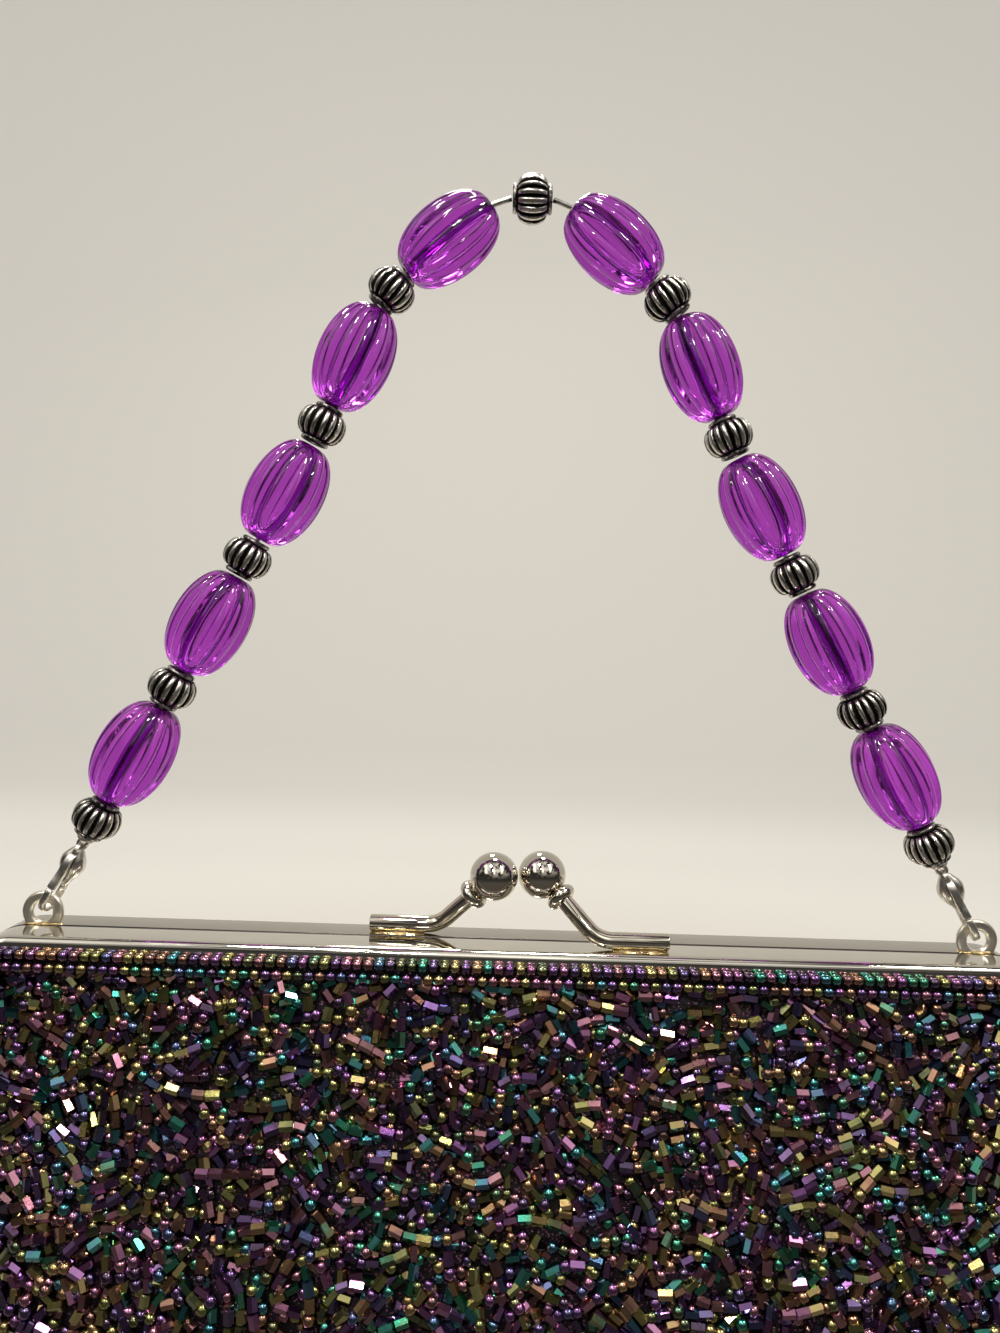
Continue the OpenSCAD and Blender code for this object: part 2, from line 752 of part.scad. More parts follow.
module lining_body() {
    color(LINING) layer_body(lining_inset, lining_t);
}

module lining_front_panel() {
    color(LINING) layer_flap(lining_inset, lining_t);
}

// A stiffening board between cloth and lining, cut from the layer between them
module board(back, top) {
    color(CARD) intersection() {
        pouch_layer(board_inset, board_t);
        mirror([0, back ? 0 : 1, 0]) translate([-board_w / 2, board_edge_y, board_margin])
            cube([board_w, reach, top - board_margin]);
    }
}

module base_board() {
    w = half_width(pouch_shares[0][2]) - board_margin;
    d = half_depth(pouch_shares[0][1]) - board_edge_y;
    color(CARD) translate([0, 0, board_inset]) linear_extrude(board_t)
        polygon([for (p = plan_ring(w, d, 0)) [p.x, p.y]]);
}

crown_spacer();
crown_wire();
for (level = [1 : LEVELS]) {
    oval(LEFT, level);
    oval(RIGHT, level);
    spacer(LEFT, level);
    spacer(RIGHT, level);
    strap_wire(level);
}
neck_loop(LEFT);  // neck_loop_left
neck_loop(RIGHT);  // neck_loop_right
clasp_body(LEFT);  // clasp_body_left
clasp_body(RIGHT);  // clasp_body_right
clasp_lever(LEFT);  // clasp_lever_left
clasp_lever(RIGHT);  // clasp_lever_right
clasp_pins();
lever_spring(LEFT);  // lever_spring_left
lever_spring(RIGHT);  // lever_spring_right
ring(LEFT);  // ring_left
ring(RIGHT);  // ring_right
back_frame();
front_frame();
hinge_rivets();
lock_rod(true);  // back_lock_rod
lock_collar(true);  // back_lock_collar
lock_ball(true);  // back_lock_ball
lock_solder(true);  // back_lock_solder
lock_rod(false);  // front_lock_rod
lock_collar(false);  // front_lock_collar
lock_ball(false);  // front_lock_ball
lock_solder(false);  // front_lock_solder
mirror([0, 1, 0]) paper_cord();  // back_paper_cord
paper_cord();  // front_paper_cord
beaded_body();
beaded_front_panel();
lining_body();
lining_front_panel();
board(true, lip_z - board_margin);  // back_board
board(false, seam_z - seam_gap - layer_gap);  // front_board
base_board();
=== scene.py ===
"""Evening clutch: a beaded pouch on a kiss-lock frame with a strap of fluted beads.

Laid out as an add-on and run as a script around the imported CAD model. Lengths are metres.
X runs along the frame, the front faces -Y, and the pouch stands on z = 0.
"""

import json
import math
from collections import namedtuple

import bmesh
import bpy
import numpy as np
from bpy.props import FloatProperty, FloatVectorProperty, IntProperty, PointerProperty
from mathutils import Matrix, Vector

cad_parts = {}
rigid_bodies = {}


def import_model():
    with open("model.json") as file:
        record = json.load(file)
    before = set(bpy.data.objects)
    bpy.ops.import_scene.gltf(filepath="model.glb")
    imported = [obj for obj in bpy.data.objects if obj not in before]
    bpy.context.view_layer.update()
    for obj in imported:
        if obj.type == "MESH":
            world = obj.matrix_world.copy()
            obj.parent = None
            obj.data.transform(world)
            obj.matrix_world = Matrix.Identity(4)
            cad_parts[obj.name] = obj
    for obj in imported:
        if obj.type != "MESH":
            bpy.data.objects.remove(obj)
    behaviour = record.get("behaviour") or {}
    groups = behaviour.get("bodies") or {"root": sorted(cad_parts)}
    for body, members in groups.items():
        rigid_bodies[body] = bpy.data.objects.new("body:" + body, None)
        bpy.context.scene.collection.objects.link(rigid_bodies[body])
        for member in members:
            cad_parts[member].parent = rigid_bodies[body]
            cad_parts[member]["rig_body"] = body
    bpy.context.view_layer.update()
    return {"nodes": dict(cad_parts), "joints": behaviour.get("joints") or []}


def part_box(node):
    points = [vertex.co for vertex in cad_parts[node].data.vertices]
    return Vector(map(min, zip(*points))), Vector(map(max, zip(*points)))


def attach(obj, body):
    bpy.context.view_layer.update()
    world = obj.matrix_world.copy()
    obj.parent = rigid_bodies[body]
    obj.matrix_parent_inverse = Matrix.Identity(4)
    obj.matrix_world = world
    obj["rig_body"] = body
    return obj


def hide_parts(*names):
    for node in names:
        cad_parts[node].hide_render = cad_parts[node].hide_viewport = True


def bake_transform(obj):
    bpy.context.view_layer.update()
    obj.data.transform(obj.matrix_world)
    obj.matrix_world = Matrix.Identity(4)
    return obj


bl_info = {
    "name": "Evening clutch",
    "version": (1, 0, 0),
    "blender": (4, 5, 0),
    "location": "View3D > Sidebar > Clutch",
    "description": "Builds the looks of a beaded evening clutch round its packed model",
    "category": "Object",
}

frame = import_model()

MM = 0.001
SIDES = ("left", "right")
LEVELS = range(1, 6)

# Rows of the pouch's loft: height as a share of the lips' height, swell as a share of the depth
# beyond the frame's, spread as a share of the width beyond the shoulders'
POUCH_SHARES = (
    (0, 0.6, 0.45), (0.025, 0.8, 0.68), (0.07, 0.93, 0.86), (0.16, 1, 1), (0.3, 0.99, 1),
    (0.42, 0.92, 0.84), (0.53, 0.8, 0.42), (0.615, 0.67, 0), (0.74, 0.46, 0),
    (0.86, 0.27, 0), (0.96, 0.12, 0),
)
# Power of the superellipse that the pouch is in plan
PLAN_POWER = 0.5


def length(name, description, default_mm):
    return FloatProperty(name=name, description=description, default=default_mm * MM, unit="LENGTH",
                         subtype="DISTANCE", precision=5)


def colour(name, description, default):
    return FloatVectorProperty(name=name, description=description, default=default, size=3,
                               subtype="COLOR", min=0, max=1)


def factor(name, description, default):
    return FloatProperty(name=name, description=description, default=default, min=0, max=1, subtype="FACTOR")


def number(name, description, default, low, high):
    return IntProperty(name=name, description=description, default=default, min=low, max=high)


class ClutchStrap(bpy.types.PropertyGroup):
    """Sizes and colours of the strap's beads."""
    oval_pole_r: length("Oval pole radius", "Radius of the flat face at each end of an oval bead", 2)
    oval_bore_r: length("Oval bore radius", "Radius of the hole through an oval bead", 1.5)
    oval_flutes: number("Flutes", "Flutes round an oval bead", 13, 6, 24)
    flute_depth: factor("Flute depth", "Depth of a flute as a share of the radius", 0.125)
    spacer_rim_r: length("Spacer rim radius", "Radius of the rolled rim at each end of a spacer", 2.55)
    spacer_ribs: number("Ribs", "Ribs round a spacer bead", 16, 8, 24)
    groove_depth: factor("Groove depth", "Depth of a groove as a share of the radius", 0.16)
    acrylic: colour("Acrylic", "Colour of the oval beads", (0.56, 0.08, 0.73))
    # Painted shade: a deeper tint for the bore's walls, for the dark band seen through a bead's middle
    acrylic_bore_shade: colour("Deep acrylic", "Colour of the walls of the hole", (0.46, 0.03, 0.62))
    silver: colour("Silver", "Colour of the raised ribs", (0.72, 0.69, 0.63))
    tarnish: colour("Tarnish", "Colour in the grooves", (0.015, 0.014, 0.013))


class ClutchFrame(bpy.types.PropertyGroup):
    """Sizes and colours of the frame, the rings and the kiss lock."""
    corner_r: length("Corner radius", "Radius of the frame's upper corners", 12)
    channel_h: length("Channel height", "Height of the lips that grip the cloth", 3)
    sheet_t: length("Sheet thickness", "Thickness of the frame's sheet metal", 0.8)
    edge_r: length("Edge radius", "Rounding of the frame's outer edges", 1.5)
    split_edge_r: length("Split edge radius", "Rounding of the edges along the split", 0.45)
    split_gap: length("Split gap", "Gap between the two closed halves", 0.5)
    ear_r: length("Ear radius", "Radius of the ears at the rivets", 4.5)
    ear_play: length("Ear play", "Gap between two ears", 0.1)
    rivet_r: length("Rivet radius", "Radius of a rivet's shank", 1.2)
    rod_d: length("Rod diameter", "Diameter of a lock rod", 3.4)
    rod_reach: length("Rod reach", "Distance along the frame from a rod's bend to its ball", 11.2)
    bend_r: length("Bend radius", "Radius of a rod's bend", 6)
    rod_edge_r: length("Rod edge", "Rounding of a rod's cut end", 0.25)
    collar_d: length("Collar diameter", "Diameter of the rolled collar under a ball", 6.4)
    collar_t: length("Collar thickness", "Thickness of the rolled collar", 2.6)
    ring_hole_r: length("Ring hole radius", "Radius of a ring's hole", 2)
    nickel: colour("Nickel", "Colour of the polished metal", (0.64, 0.6, 0.52))
    # Lit and shaded copies of one plated metal: the back half's plate is painted darker as painted shade, and
    # the front half's plate lighter as painted reflection of the brighter light its top gives back
    plate: colour("Plate", "Colour of the back half's folded sheet", (0.42, 0.395, 0.345))
    front_plate: colour("Front plate", "Colour of the front half's folded sheet", (0.66, 0.63, 0.56))
    gold_tint: colour("Warm plate", "Colour where the plating is warmer", (0.74, 0.66, 0.49))


class ClutchPouch(bpy.types.PropertyGroup):
    """Sizes and colours of the cloth, the lining and the beads sewn on."""
    cloth_inset: length("Cloth inset", "Depth of the cloth under the tops of the beads", 1.7)
    cloth_t: length("Cloth thickness", "Thickness of the cloth alone", 0.5)
    lining_inset: length("Lining inset", "Depth of the lining inside the pouch", 3.6)
    arm_play: length("Arm play", "Gap between the cloth and the frame's arms", 1)
    seed_d: length("Seed bead", "Diameter of a small round bead", 2.55)
    row_d: length("Row bead", "Diameter of a bead in the two straight rows", 2.15)
    row_pitch: length("Row pitch", "Distance from bead to bead along a row", 2.1)
    tube_d: length("Tube bead", "Width of a small tube bead", 2.2)
    tube_len: length("Tube length", "Length of a small tube bead", 2.9)
    sag: length("Sag", "Depth of the cloth's soft swells", 0.6)
    seed: number("Seed", "Number that fixes how the strands lie", 7, 0, 1000)
    cloth: colour("Cloth", "Colour of the cloth between the beads", (0.008, 0.002, 0.009))
    glint: colour("Glint", "Colour of the shining threads", (0.62, 0.25, 0.42))
    lining: colour("Lining", "Colour of the lining", (0.03, 0.012, 0.045))


class ClutchStage(bpy.types.PropertyGroup):
    """The floor, the lamps and the camera."""
    wall: colour("Backdrop", "Colour of the backdrop", (0.651, 0.617, 0.552))
    floor: colour("Floor", "Colour of the floor", (0.767, 0.73, 0.651))
    lens: FloatProperty(name="Lens", description="Focal length in millimetres", default=27, min=10, max=200)
    distance: length("Distance", "Distance from the camera to the plane of the frame's split", 204.8)
    camera_x: length("Camera X", "Place of the camera along the frame", -3.7)
    camera_z: length("Camera Z", "Height of the camera", 195.8)
    roll: FloatProperty(name="Roll", description="Roll of the camera", default=math.radians(-1.78),
                        subtype="ANGLE")


GROUPS = {"clutch_strap": ClutchStrap, "clutch_frame": ClutchFrame, "clutch_pouch": ClutchPouch,
          "clutch_stage": ClutchStage}


# Small geometry helpers

# Steps of a rounded corner
ARC_STEPS = 6


def turns(steps):
    """The angles of a full circle in equal steps."""
    return [2 * math.pi * i / steps for i in range(steps)]


def sweep(angle, steps):
    """The angles from 0 to an angle in equal steps, with both ends."""
    return [angle * k / steps for k in range(steps + 1)]


def degrees(first, last, step):
    """The angles from first to last in steps, all given in degrees, with both ends."""
    return [math.radians(d) for d in range(first, last + (1 if step > 0 else -1), step)]


def ring_at(centre, axes, height, radii, angles):
    """Points round an axis at one height along it, each with its own radius."""
    x, y, z = axes
    return [centre + z * height + r * (math.cos(a) * x + math.sin(a) * y) for r, a in zip(radii, angles)]


def centre_of(node):
    low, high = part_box(node)
    return (low + high) / 2


def half_sizes(node):
    low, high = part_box(node)
    return (high - low) / 2


def node_points(node):
    return np.array([v.co for v in frame["nodes"][node].data.vertices], float)


def frame_about(axis):
    """Two unit vectors square to an axis and to each other."""
    z = Vector(axis).normalized()
    helper = Vector((0, 1, 0)) if abs(z.y) < 0.9 else Vector((1, 0, 0))
    x = helper.cross(z).normalized()
    return x, z.cross(x), z


def bead_frame(node):
    """Centre, length, radius and axis of a bead of revolution, from its CAD solid."""
    points = node_points(node)
    centre = Vector((points.min(0) + points.max(0)) / 2)
    about = points - np.array(centre)
    spread, axes = np.linalg.eigh(np.cov(about.T))
    odd = int(np.argmax(np.abs(spread - np.median(spread))))
    axis = axes[:, odd] * (1 if axes[2, odd] >= 0 else -1)
    along = about @ axis
    out = np.linalg.norm(about - along[:, None] * axis, axis=1)
    return centre, float(along.max() - along.min()), float(out.max()), Vector(axis)


def rounded(points, radii):
    """A closed outline with each corner turned into an arc of its radius."""
    result, count = [], len(points)
    for i, (corner, r) in enumerate(zip(points, radii)):
        p = Vector(corner)
        a = Vector(points[i - 1]) - p
        b = Vector(points[(i + 1) % count]) - p
        half = a.angle(b) / 2
        if r <= 0 or half > math.pi / 2 - 1e-3:
            result.append(p)
            continue
        cut = min(r / math.tan(half), 0.49 * min(a.length, b.length))
        r = cut * math.tan(half)
        centre = p + (a.normalized() + b.normalized()).normalized() * (r / math.sin(half))
        first, last = p + a.normalized() * cut - centre, p + b.normalized() * cut - centre
        for k in range(ARC_STEPS + 1):
            t = k / ARC_STEPS
            arm = first * (1 - t) + last * t
            result.append(centre + arm.normalized() * r)
    return result


def plain_mesh(name, points, faces=()):
    mesh = bpy.data.meshes.new(name)
    mesh.from_pydata([tuple(p) for p in points], [], faces)
    return mesh


def mesh_from(name, bm):
    """A mesh of what a bmesh holds, which is freed."""
    mesh = bpy.data.meshes.new(name)
    bm.to_mesh(mesh)
    bm.free()
    return mesh


def rings_mesh(name, rings, closed=False):
    """A mesh through rings of equal counts of points, capped at both ends or joined end to end."""
    n, m = len(rings[0]), len(rings)
    faces = []
    for j in range(m if closed else m - 1):
        k = (j + 1) % m
        for i in range(n):
            after = (i + 1) % n
            faces.append((j * n + i, j * n + after, k * n + after, k * n + i))
    if not closed:
        faces.append(tuple(reversed(range(n))))
        faces.append(tuple((m - 1) * n + i for i in range(n)))
    return plain_mesh(name, [p for ring in rings for p in ring], faces)


def solid_mesh(name, rings, closed=False):
    """A mesh through rings, with its faces turned outwards."""
    mesh = rings_mesh(name, rings, closed)
    face_out(mesh)
    return mesh


def new_object(name, mesh, material=None):
    obj = bpy.data.objects.new(name, mesh)
    bpy.context.scene.collection.objects.link(obj)
    if material is not None:
        mesh.materials.clear()
        mesh.materials.append(material)
    return obj


def face_out(mesh):
    bm = bmesh.new()
    bm.from_mesh(mesh)
    bmesh.ops.remove_doubles(bm, verts=bm.verts, dist=1e-7)
    bmesh.ops.recalc_face_normals(bm, faces=bm.faces)
    bm.to_mesh(mesh)
    bm.free()


def smooth(mesh, angle_deg):
    mesh.shade_smooth()
    mesh.set_sharp_from_angle(angle=math.radians(angle_deg))


def add_float(mesh, name, values):
    attribute = mesh.attributes.new(name, "FLOAT", "POINT")
    attribute.data.foreach_set("value", np.asarray(values, np.float32))


def joined(name, meshes, material):
    """One object from several meshes, with their attributes."""
    bm = bmesh.new()
    for mesh in meshes:
        bm.from_mesh(mesh)
        bpy.data.meshes.remove(mesh)
    obj = new_object(name, mesh_from(name, bm), material)
    obj.data.polygons.foreach_set("material_index", [0] * len(obj.data.polygons))
    return obj


def tube_mesh(name, path, radius, sides, end_r=0.0):
    """A tube along a path, with its cut ends rounded by end_r."""
    points = [Vector(p) for p in path]
    widths = [radius] * len(points)
    if end_r > 0:
        first = (points[1] - points[0]).normalized()
        last = (points[-1] - points[-2]).normalized()
        arc = degrees(0, 90, 30)
        cut = [radius - end_r * (1 - math.cos(a)) for a in arc]
        head = [points[0] + first * end_r * (1 - math.sin(a)) for a in reversed(arc)]
        tail = [points[-1] - last * end_r * (1 - math.sin(a)) for a in arc]
        widths = cut[::-1] + widths[1:-1] + cut
        points = head + points[1:-1] + tail
    rings, side = [], None
    for k, p in enumerate(points):
        direction = (points[min(k + 1, len(points) - 1)] - points[max(k - 1, 0)]).normalized()
        if side is None:
            side = frame_about(direction)[0]
        side = (side - direction * side.dot(direction)).normalized()
        other = direction.cross(side)
        rings.append([p + widths[k] * (math.cos(a) * side + math.sin(a) * other) for a in turns(sides)])
    return solid_mesh(name, rings)


def lathe_mesh(name, profile, centre, axis, sides):
    """A turned shape: profile holds (distance along the axis, radius) and may end on the axis."""
    axes = frame_about(axis)
    return solid_mesh(name, [ring_at(Vector(centre), axes, h, [r] * sides, turns(sides)) for h, r in profile])


# Materials

class Nodes:
    """Short names for making a tree's nodes."""

    def __init__(self, tree):
        self.tree = tree

    def add(self, kind, settings=None, **inputs):
        node = self.tree.nodes.new(kind)
        for key, value in (settings or {}).items():
            setattr(node, key, value)
        return self.wire(node, **inputs)

    def wire(self, node, **inputs):
        """Sets or links a node's inputs by name, with _ for each space in a name."""
        for key, value in inputs.items():
            self.put(node, key.replace("_", " "), value)
        return node

    def put(self, node, key, value):
        """Sets or links one input of a node, by its name or number."""
        socket = node.inputs[key]
        if isinstance(value, bpy.types.NodeSocket):
            self.tree.links.new(value, socket)
        elif hasattr(value, "__len__") and len(value) == 3 and socket.type == "RGBA":
            socket.default_value = (*value, 1)
        else:
            socket.default_value = value

    def math(self, operation, a, b=0.0, c=0.0):
        node = self.add("ShaderNodeMath", {"operation": operation})
        for i, value in enumerate((a, b, c)):
            self.put(node, i, value)
        return node.outputs[0]

    def mix(self, amount, a, b, blend="MIX"):
        node = self.add("ShaderNodeMix", {"data_type": "RGBA", "blend_type": blend})
        for i, value in ((0, amount), (6, a), (7, b)):
            self.put(node, i, value)
        return node.outputs[2]

    def ramp(self, value, stops):
        node = self.add("ShaderNodeValToRGB", Fac=value)
        elements = node.color_ramp.elements
        while len(elements) < len(stops):
            elements.new(0.5)
        for element, (at, shade) in zip(elements, stops):
            element.position = at
            element.color = (*shade, 1) if hasattr(shade, "__len__") else (shade, shade, shade, 1)
        return node.outputs[0]

    def span(self, value, start, end, low=0.0, high=1.0, kind="SMOOTHSTEP"):
        """A number that runs from low to high while value runs from start to end."""
        return self.add("ShaderNodeMapRange", {"interpolation_type": kind}, Value=value, From_Min=start,
                        From_Max=end, To_Min=low, To_Max=high).outputs[0]

    def attribute(self, name):
        return self.add("ShaderNodeAttribute", {"attribute_name": name}).outputs["Fac"]

    def place(self, kind="Object"):
        return self.add("ShaderNodeTexCoord").outputs[kind]

    def split(self, vector):
        return self.add("ShaderNodeSeparateXYZ", Vector=vector).outputs

    def noise(self, scale, detail=2.0, roughness=0.5, vector=None):
        return self.add("ShaderNodeTexNoise", Scale=scale, Detail=detail, Roughness=roughness,
                        Vector=vector or self.place()).outputs[0]

    def bump(self, height, strength, distance):
        return self.add("ShaderNodeBump", Strength=strength, Distance=distance, Height=height).outputs[0]

    def group(self, tree, **inputs):
        return self.add("ShaderNodeGroup", {"node_tree": tree}, **inputs).outputs


def new_material(name, **settings):
    """A material with its nodes helper and its Principled shader."""
    material = bpy.data.materials.new(name)
    material.use_nodes = True
    nodes = Nodes(material.node_tree)
    return material, nodes, nodes.wire(material.node_tree.nodes["Principled BSDF"], **settings)


def darker(shade, share):
    return tuple(share * c for c in shade)


def shader_group(name, inputs, outputs):
    """A group whose sockets are all numbers, from its inputs with their defaults and its outputs."""
    tree = bpy.data.node_groups.new(name, "ShaderNodeTree")
    for label, default in inputs.items():
        socket = tree.interface.new_socket(label, in_out="INPUT", socket_type="NodeSocketFloat")
        socket.default_value = default
    for label in outputs:
        tree.interface.new_socket(label, in_out="OUTPUT", socket_type="NodeSocketFloat")
    nodes = Nodes(tree)
    return tree, nodes, nodes.add("NodeGroupInput").outputs, nodes.add("NodeGroupOutput")


# How much finer the polish lines are than the smudges
POLISH_FINENESS = 14.0


def handling_group():
    """Smudges and fine polish lines on handled metal: a mask, a roughness and a bump height."""
    tree, nodes, given, result = shader_group(
        "handling_marks", {"Scale": 120.0, "Smooth": 0.06, "Smudged": 0.2}, ("Mask", "Roughness", "Height"))
    mask = nodes.span(nodes.noise(given["Scale"], 3.0), 0.42, 0.68, kind="LINEAR")
    lines = nodes.noise(nodes.math("MULTIPLY", given["Scale"], POLISH_FINENESS), 1.0)
    nodes.wire(result, Mask=mask, Height=lines,
               Roughness=nodes.span(mask, 0.0, 1.0, given["Smooth"], given["Smudged"], "LINEAR"))
    return tree


def weave_group():
    """A fine knit: the height of its loops, and a mask of the threads that shine."""
    tree, nodes, given, result = shader_group(
        "fine_knit", {"Scale": 2200.0, "Shine Share": 0.3}, ("Height", "Shine"))
    loops = nodes.add("ShaderNodeTexVoronoi", Vector=nodes.place(), Scale=given["Scale"], Randomness=0.35)
    height = nodes.math("SUBTRACT", 1.0, loops.outputs["Distance"])
    channels = nodes.add("ShaderNodeSeparateColor", Color=loops.outputs["Color"])
    chosen = nodes.math("LESS_THAN", channels.outputs[0], given["Shine Share"])
    nodes.wire(result, Height=height, Shine=nodes.math("MULTIPLY", chosen, height))
    return tree


def acrylic_material(sizes):
    """Clear tinted plastic. The walls of the bore take a deeper tint, painted shade for the dark band through
    a bead's middle.
    """
    material, nodes, shader = new_material(
        "violet_acrylic", Roughness=0.015, Metallic=0.0, IOR=1.49, Transmission_Weight=1.0)
    body = nodes.mix(nodes.noise(90, 2), sizes.acrylic, darker(sizes.acrylic, 0.8))
    # Painted shade: the bore's walls mix towards the deeper tint
    nodes.wire(shader, Base_Color=nodes.mix(nodes.attribute("bore"), body, sizes.acrylic_bore_shade),
               Normal=nodes.bump(nodes.noise(260, 2), 0.12, 0.0002))
    return material


def silver_material(sizes, marks):
    """Silver worn bright on the ribs, with tarnish in the grooves and in its pits."""
    material, nodes, shader = new_material("antique_silver", Metallic=1.0)
    pits, blotch = nodes.noise(1400, 3, 0.6), nodes.noise(500, 2)
    depth = nodes.attribute("recess")
    for pattern, share in ((pits, 0.7), (blotch, 0.55)):
        depth = nodes.math("ADD", depth, nodes.math("MULTIPLY", nodes.math("SUBTRACT", pattern, 0.5), share))
    mask = nodes.ramp(depth, [(0.16, 0.0), (0.36, 1.0)])
    metal = nodes.mix(nodes.noise(700, 3), sizes.silver, darker(sizes.silver, 0.62))
    rough = nodes.group(marks, Scale=300.0, Smooth=0.2, Smudged=0.38)["Roughness"]
    nodes.wire(shader, Base_Color=nodes.mix(mask, metal, sizes.tarnish),
               Roughness=nodes.math("ADD", rough, nodes.math("MULTIPLY", mask, 0.35)),
               Normal=nodes.bump(nodes.math("ADD", pits, blotch), 0.35, 0.00012))
    return material


# Depth of the bump that polish lines and bead grain make
FINE_BUMP = 0.00005
# Colour of the painted shade along the frame's split, which stands in for the shadow in the gap
SEAM_SHADE = (0.03, 0.027, 0.024)
# Distances from the split where the painted shade ends, and where it's at its darkest
SEAM_UNSHADED = 0.75 * MM
SEAM_DARK = 0.5 * MM


def nickel_material(name, shade, smudged_shade, marks, smooth_r, smudged_r, scale=90.0, bump=0.02,
                    seam=False):
    """Plated metal with handling marks. With seam, its edges along the frame's split get painted shade,
    darker and rougher, for the shadow in the gap.
    """
    material, nodes, shader = new_material(name, Metallic=1.0)
    handled = nodes.group(marks, Scale=scale, Smooth=smooth_r, Smudged=smudged_r)
    metal, rough = nodes.mix(handled["Mask"], shade, smudged_shade), handled["Roughness"]
    if seam:
        # Painted shade: the edges along the split darken towards the gap, for the gap's shadow
        across = nodes.math("ABSOLUTE", nodes.split(nodes.place())[1])
        seam_shade = nodes.span(across, SEAM_UNSHADED, SEAM_DARK)
        metal, rough = nodes.mix(seam_shade, metal, SEAM_SHADE), nodes.math("MULTIPLY_ADD", seam_shade, 0.3, rough)
    nodes.wire(shader, Base_Color=metal, Roughness=rough,
               Normal=nodes.bump(handled["Height"], bump, FINE_BUMP))
    return material


def solder_material(marks):
    material, nodes, shader = new_material("gold_solder", Metallic=1.0)
    lumps = nodes.noise(900, 3)
    nodes.wire(shader, Base_Color=nodes.mix(lumps, (0.8, 0.62, 0.3), (0.55, 0.42, 0.22)),
               Roughness=nodes.group(marks, Scale=400.0, Smooth=0.18, Smudged=0.4)["Roughness"],
               Normal=nodes.bump(lumps, 0.5, 0.0002))
    return material


# Colours of the beads' oil-like coating: share of the beads below it, and the metal's colour
BEAD_SHADES = (
    (0.0, (0.046, 0.019, 0.046)), (0.08, (0.129, 0.061, 0.213)), (0.17, (0.228, 0.076, 0.228)),
    (0.28, (0.365, 0.152, 0.205)), (0.37, (0.152, 0.068, 0.061)), (0.45, (0.38, 0.198, 0.106)),
    (0.54, (0.395, 0.319, 0.114)), (0.64, (0.243, 0.251, 0.076)), (0.71, (0.076, 0.084, 0.038)),
    (0.77, (0.03, 0.258, 0.152)), (0.83, (0.03, 0.213, 0.228)), (0.88, (0.068, 0.106, 0.243)),
    (0.94, (0.106, 0.068, 0.198)), (1.0, (0.046, 0.019, 0.046)),
)


def bead_material(name, roughness):
    """Dark glass under an iridescent metal coating: each bead has its own shade, which drifts over it."""
    material, nodes, shader = new_material(name, Coat_Weight=1.0, Coat_Roughness=0.04, Metallic=0.97)
    drift = nodes.math("MULTIPLY", nodes.math("SUBTRACT", nodes.noise(420, 2), 0.5), 0.16)
    shade = nodes.math("FRACT", nodes.math("ADD", nodes.attribute("tint"), nodes.math("ADD", drift, 1.0)))
    grain = nodes.noise(2400, 1)
    nodes.wire(shader, Base_Color=nodes.ramp(shade, BEAD_SHADES),
               Roughness=nodes.math("MULTIPLY_ADD", grain, 0.12, roughness),
               Normal=nodes.bump(grain, 0.1, FINE_BUMP))
    return material


def cloth_material(name, base, glint, knit, scale, shine_share, roughness):
    """Dark knit with some threads that shine."""
    material, nodes, shader = new_material(name, Sheen_Weight=0.06, Sheen_Roughness=0.4)
    loops = nodes.group(knit, Scale=scale, Shine_Share=shine_share)
    shade = nodes.mix(nodes.noise(60, 3), base, darker(base, 0.6))
    nodes.wire(shader, Base_Color=nodes.mix(loops["Shine"], shade, glint),
               Metallic=nodes.math("MULTIPLY", loops["Shine"], 0.8),
               Roughness=nodes.math("MULTIPLY_ADD", loops["Height"], -0.15, roughness),
               Normal=nodes.bump(loops["Height"], 0.6, 0.0003))
    return material


def fibre_material(name, roughness, pattern, dark, pale, strength):
    """Board or paper: a pattern of fibres in two shades. Pattern makes its number from the nodes."""
    material, nodes, shader = new_material(name, Roughness=roughness)
    fibres = pattern(nodes)
    nodes.wire(shader, Base_Color=nodes.mix(fibres, dark, pale), Normal=nodes.bump(fibres, strength, 0.0002))
    return material


def twist_of(nodes):
    return nodes.add("ShaderNodeTexWave", {"bands_direction": "DIAGONAL"}, Scale=260.0, Distortion=1.0,
                     Vector=nodes.place()).outputs[1]


def backdrop_material(stage):
    """Pale floor and wall. The wall is seen evenly lit, and the floor in front throws little light back."""
    material, nodes, shader = new_material("pale_backdrop", Roughness=0.85)
    apart = nodes.split(nodes.place())
    shade = nodes.mix(nodes.span(apart[2], 0.0, 0.06), stage.floor, stage.wall)
    ray = nodes.add("ShaderNodeLightPath").outputs
    passed = nodes.math("MAXIMUM", ray["Is Glossy Ray"], ray["Is Transmission Ray"])
    behind = nodes.math("MULTIPLY", passed, nodes.span(apart[1], 0.2, 0.5))
    seen = nodes.math("MAXIMUM", ray["Is Camera Ray"], behind)
    away = nodes.add("ShaderNodeVectorMath", {"operation": "LENGTH"})
    nodes.put(away, 0, nodes.place())
    # Away from the object lamps give way to an even glow
    even = nodes.span(away.outputs["Value"], 0.35, 0.75)
    near = nodes.span(apart[1], -0.12, 0.1, 1.0, 0.0)
    dim = nodes.math("MULTIPLY", near, nodes.math("SUBTRACT", 1.0, ray["Is Camera Ray"]))
    tooth = nodes.mix(nodes.noise(160, 3), shade, nodes.mix(1.0, shade, (0.97, 0.97, 0.97), "MULTIPLY"))
    lit = nodes.mix(dim, tooth, (0.05, 0.045, 0.04))
    glow = nodes.math("MULTIPLY", nodes.math("MULTIPLY", seen, even), 0.78)
    nodes.wire(shader, Base_Color=nodes.mix(even, lit, nodes.mix(1.0, lit, (0.35, 0.35, 0.35), "MULTIPLY")),
               Emission_Color=shade, Emission_Strength=glow)
    return material


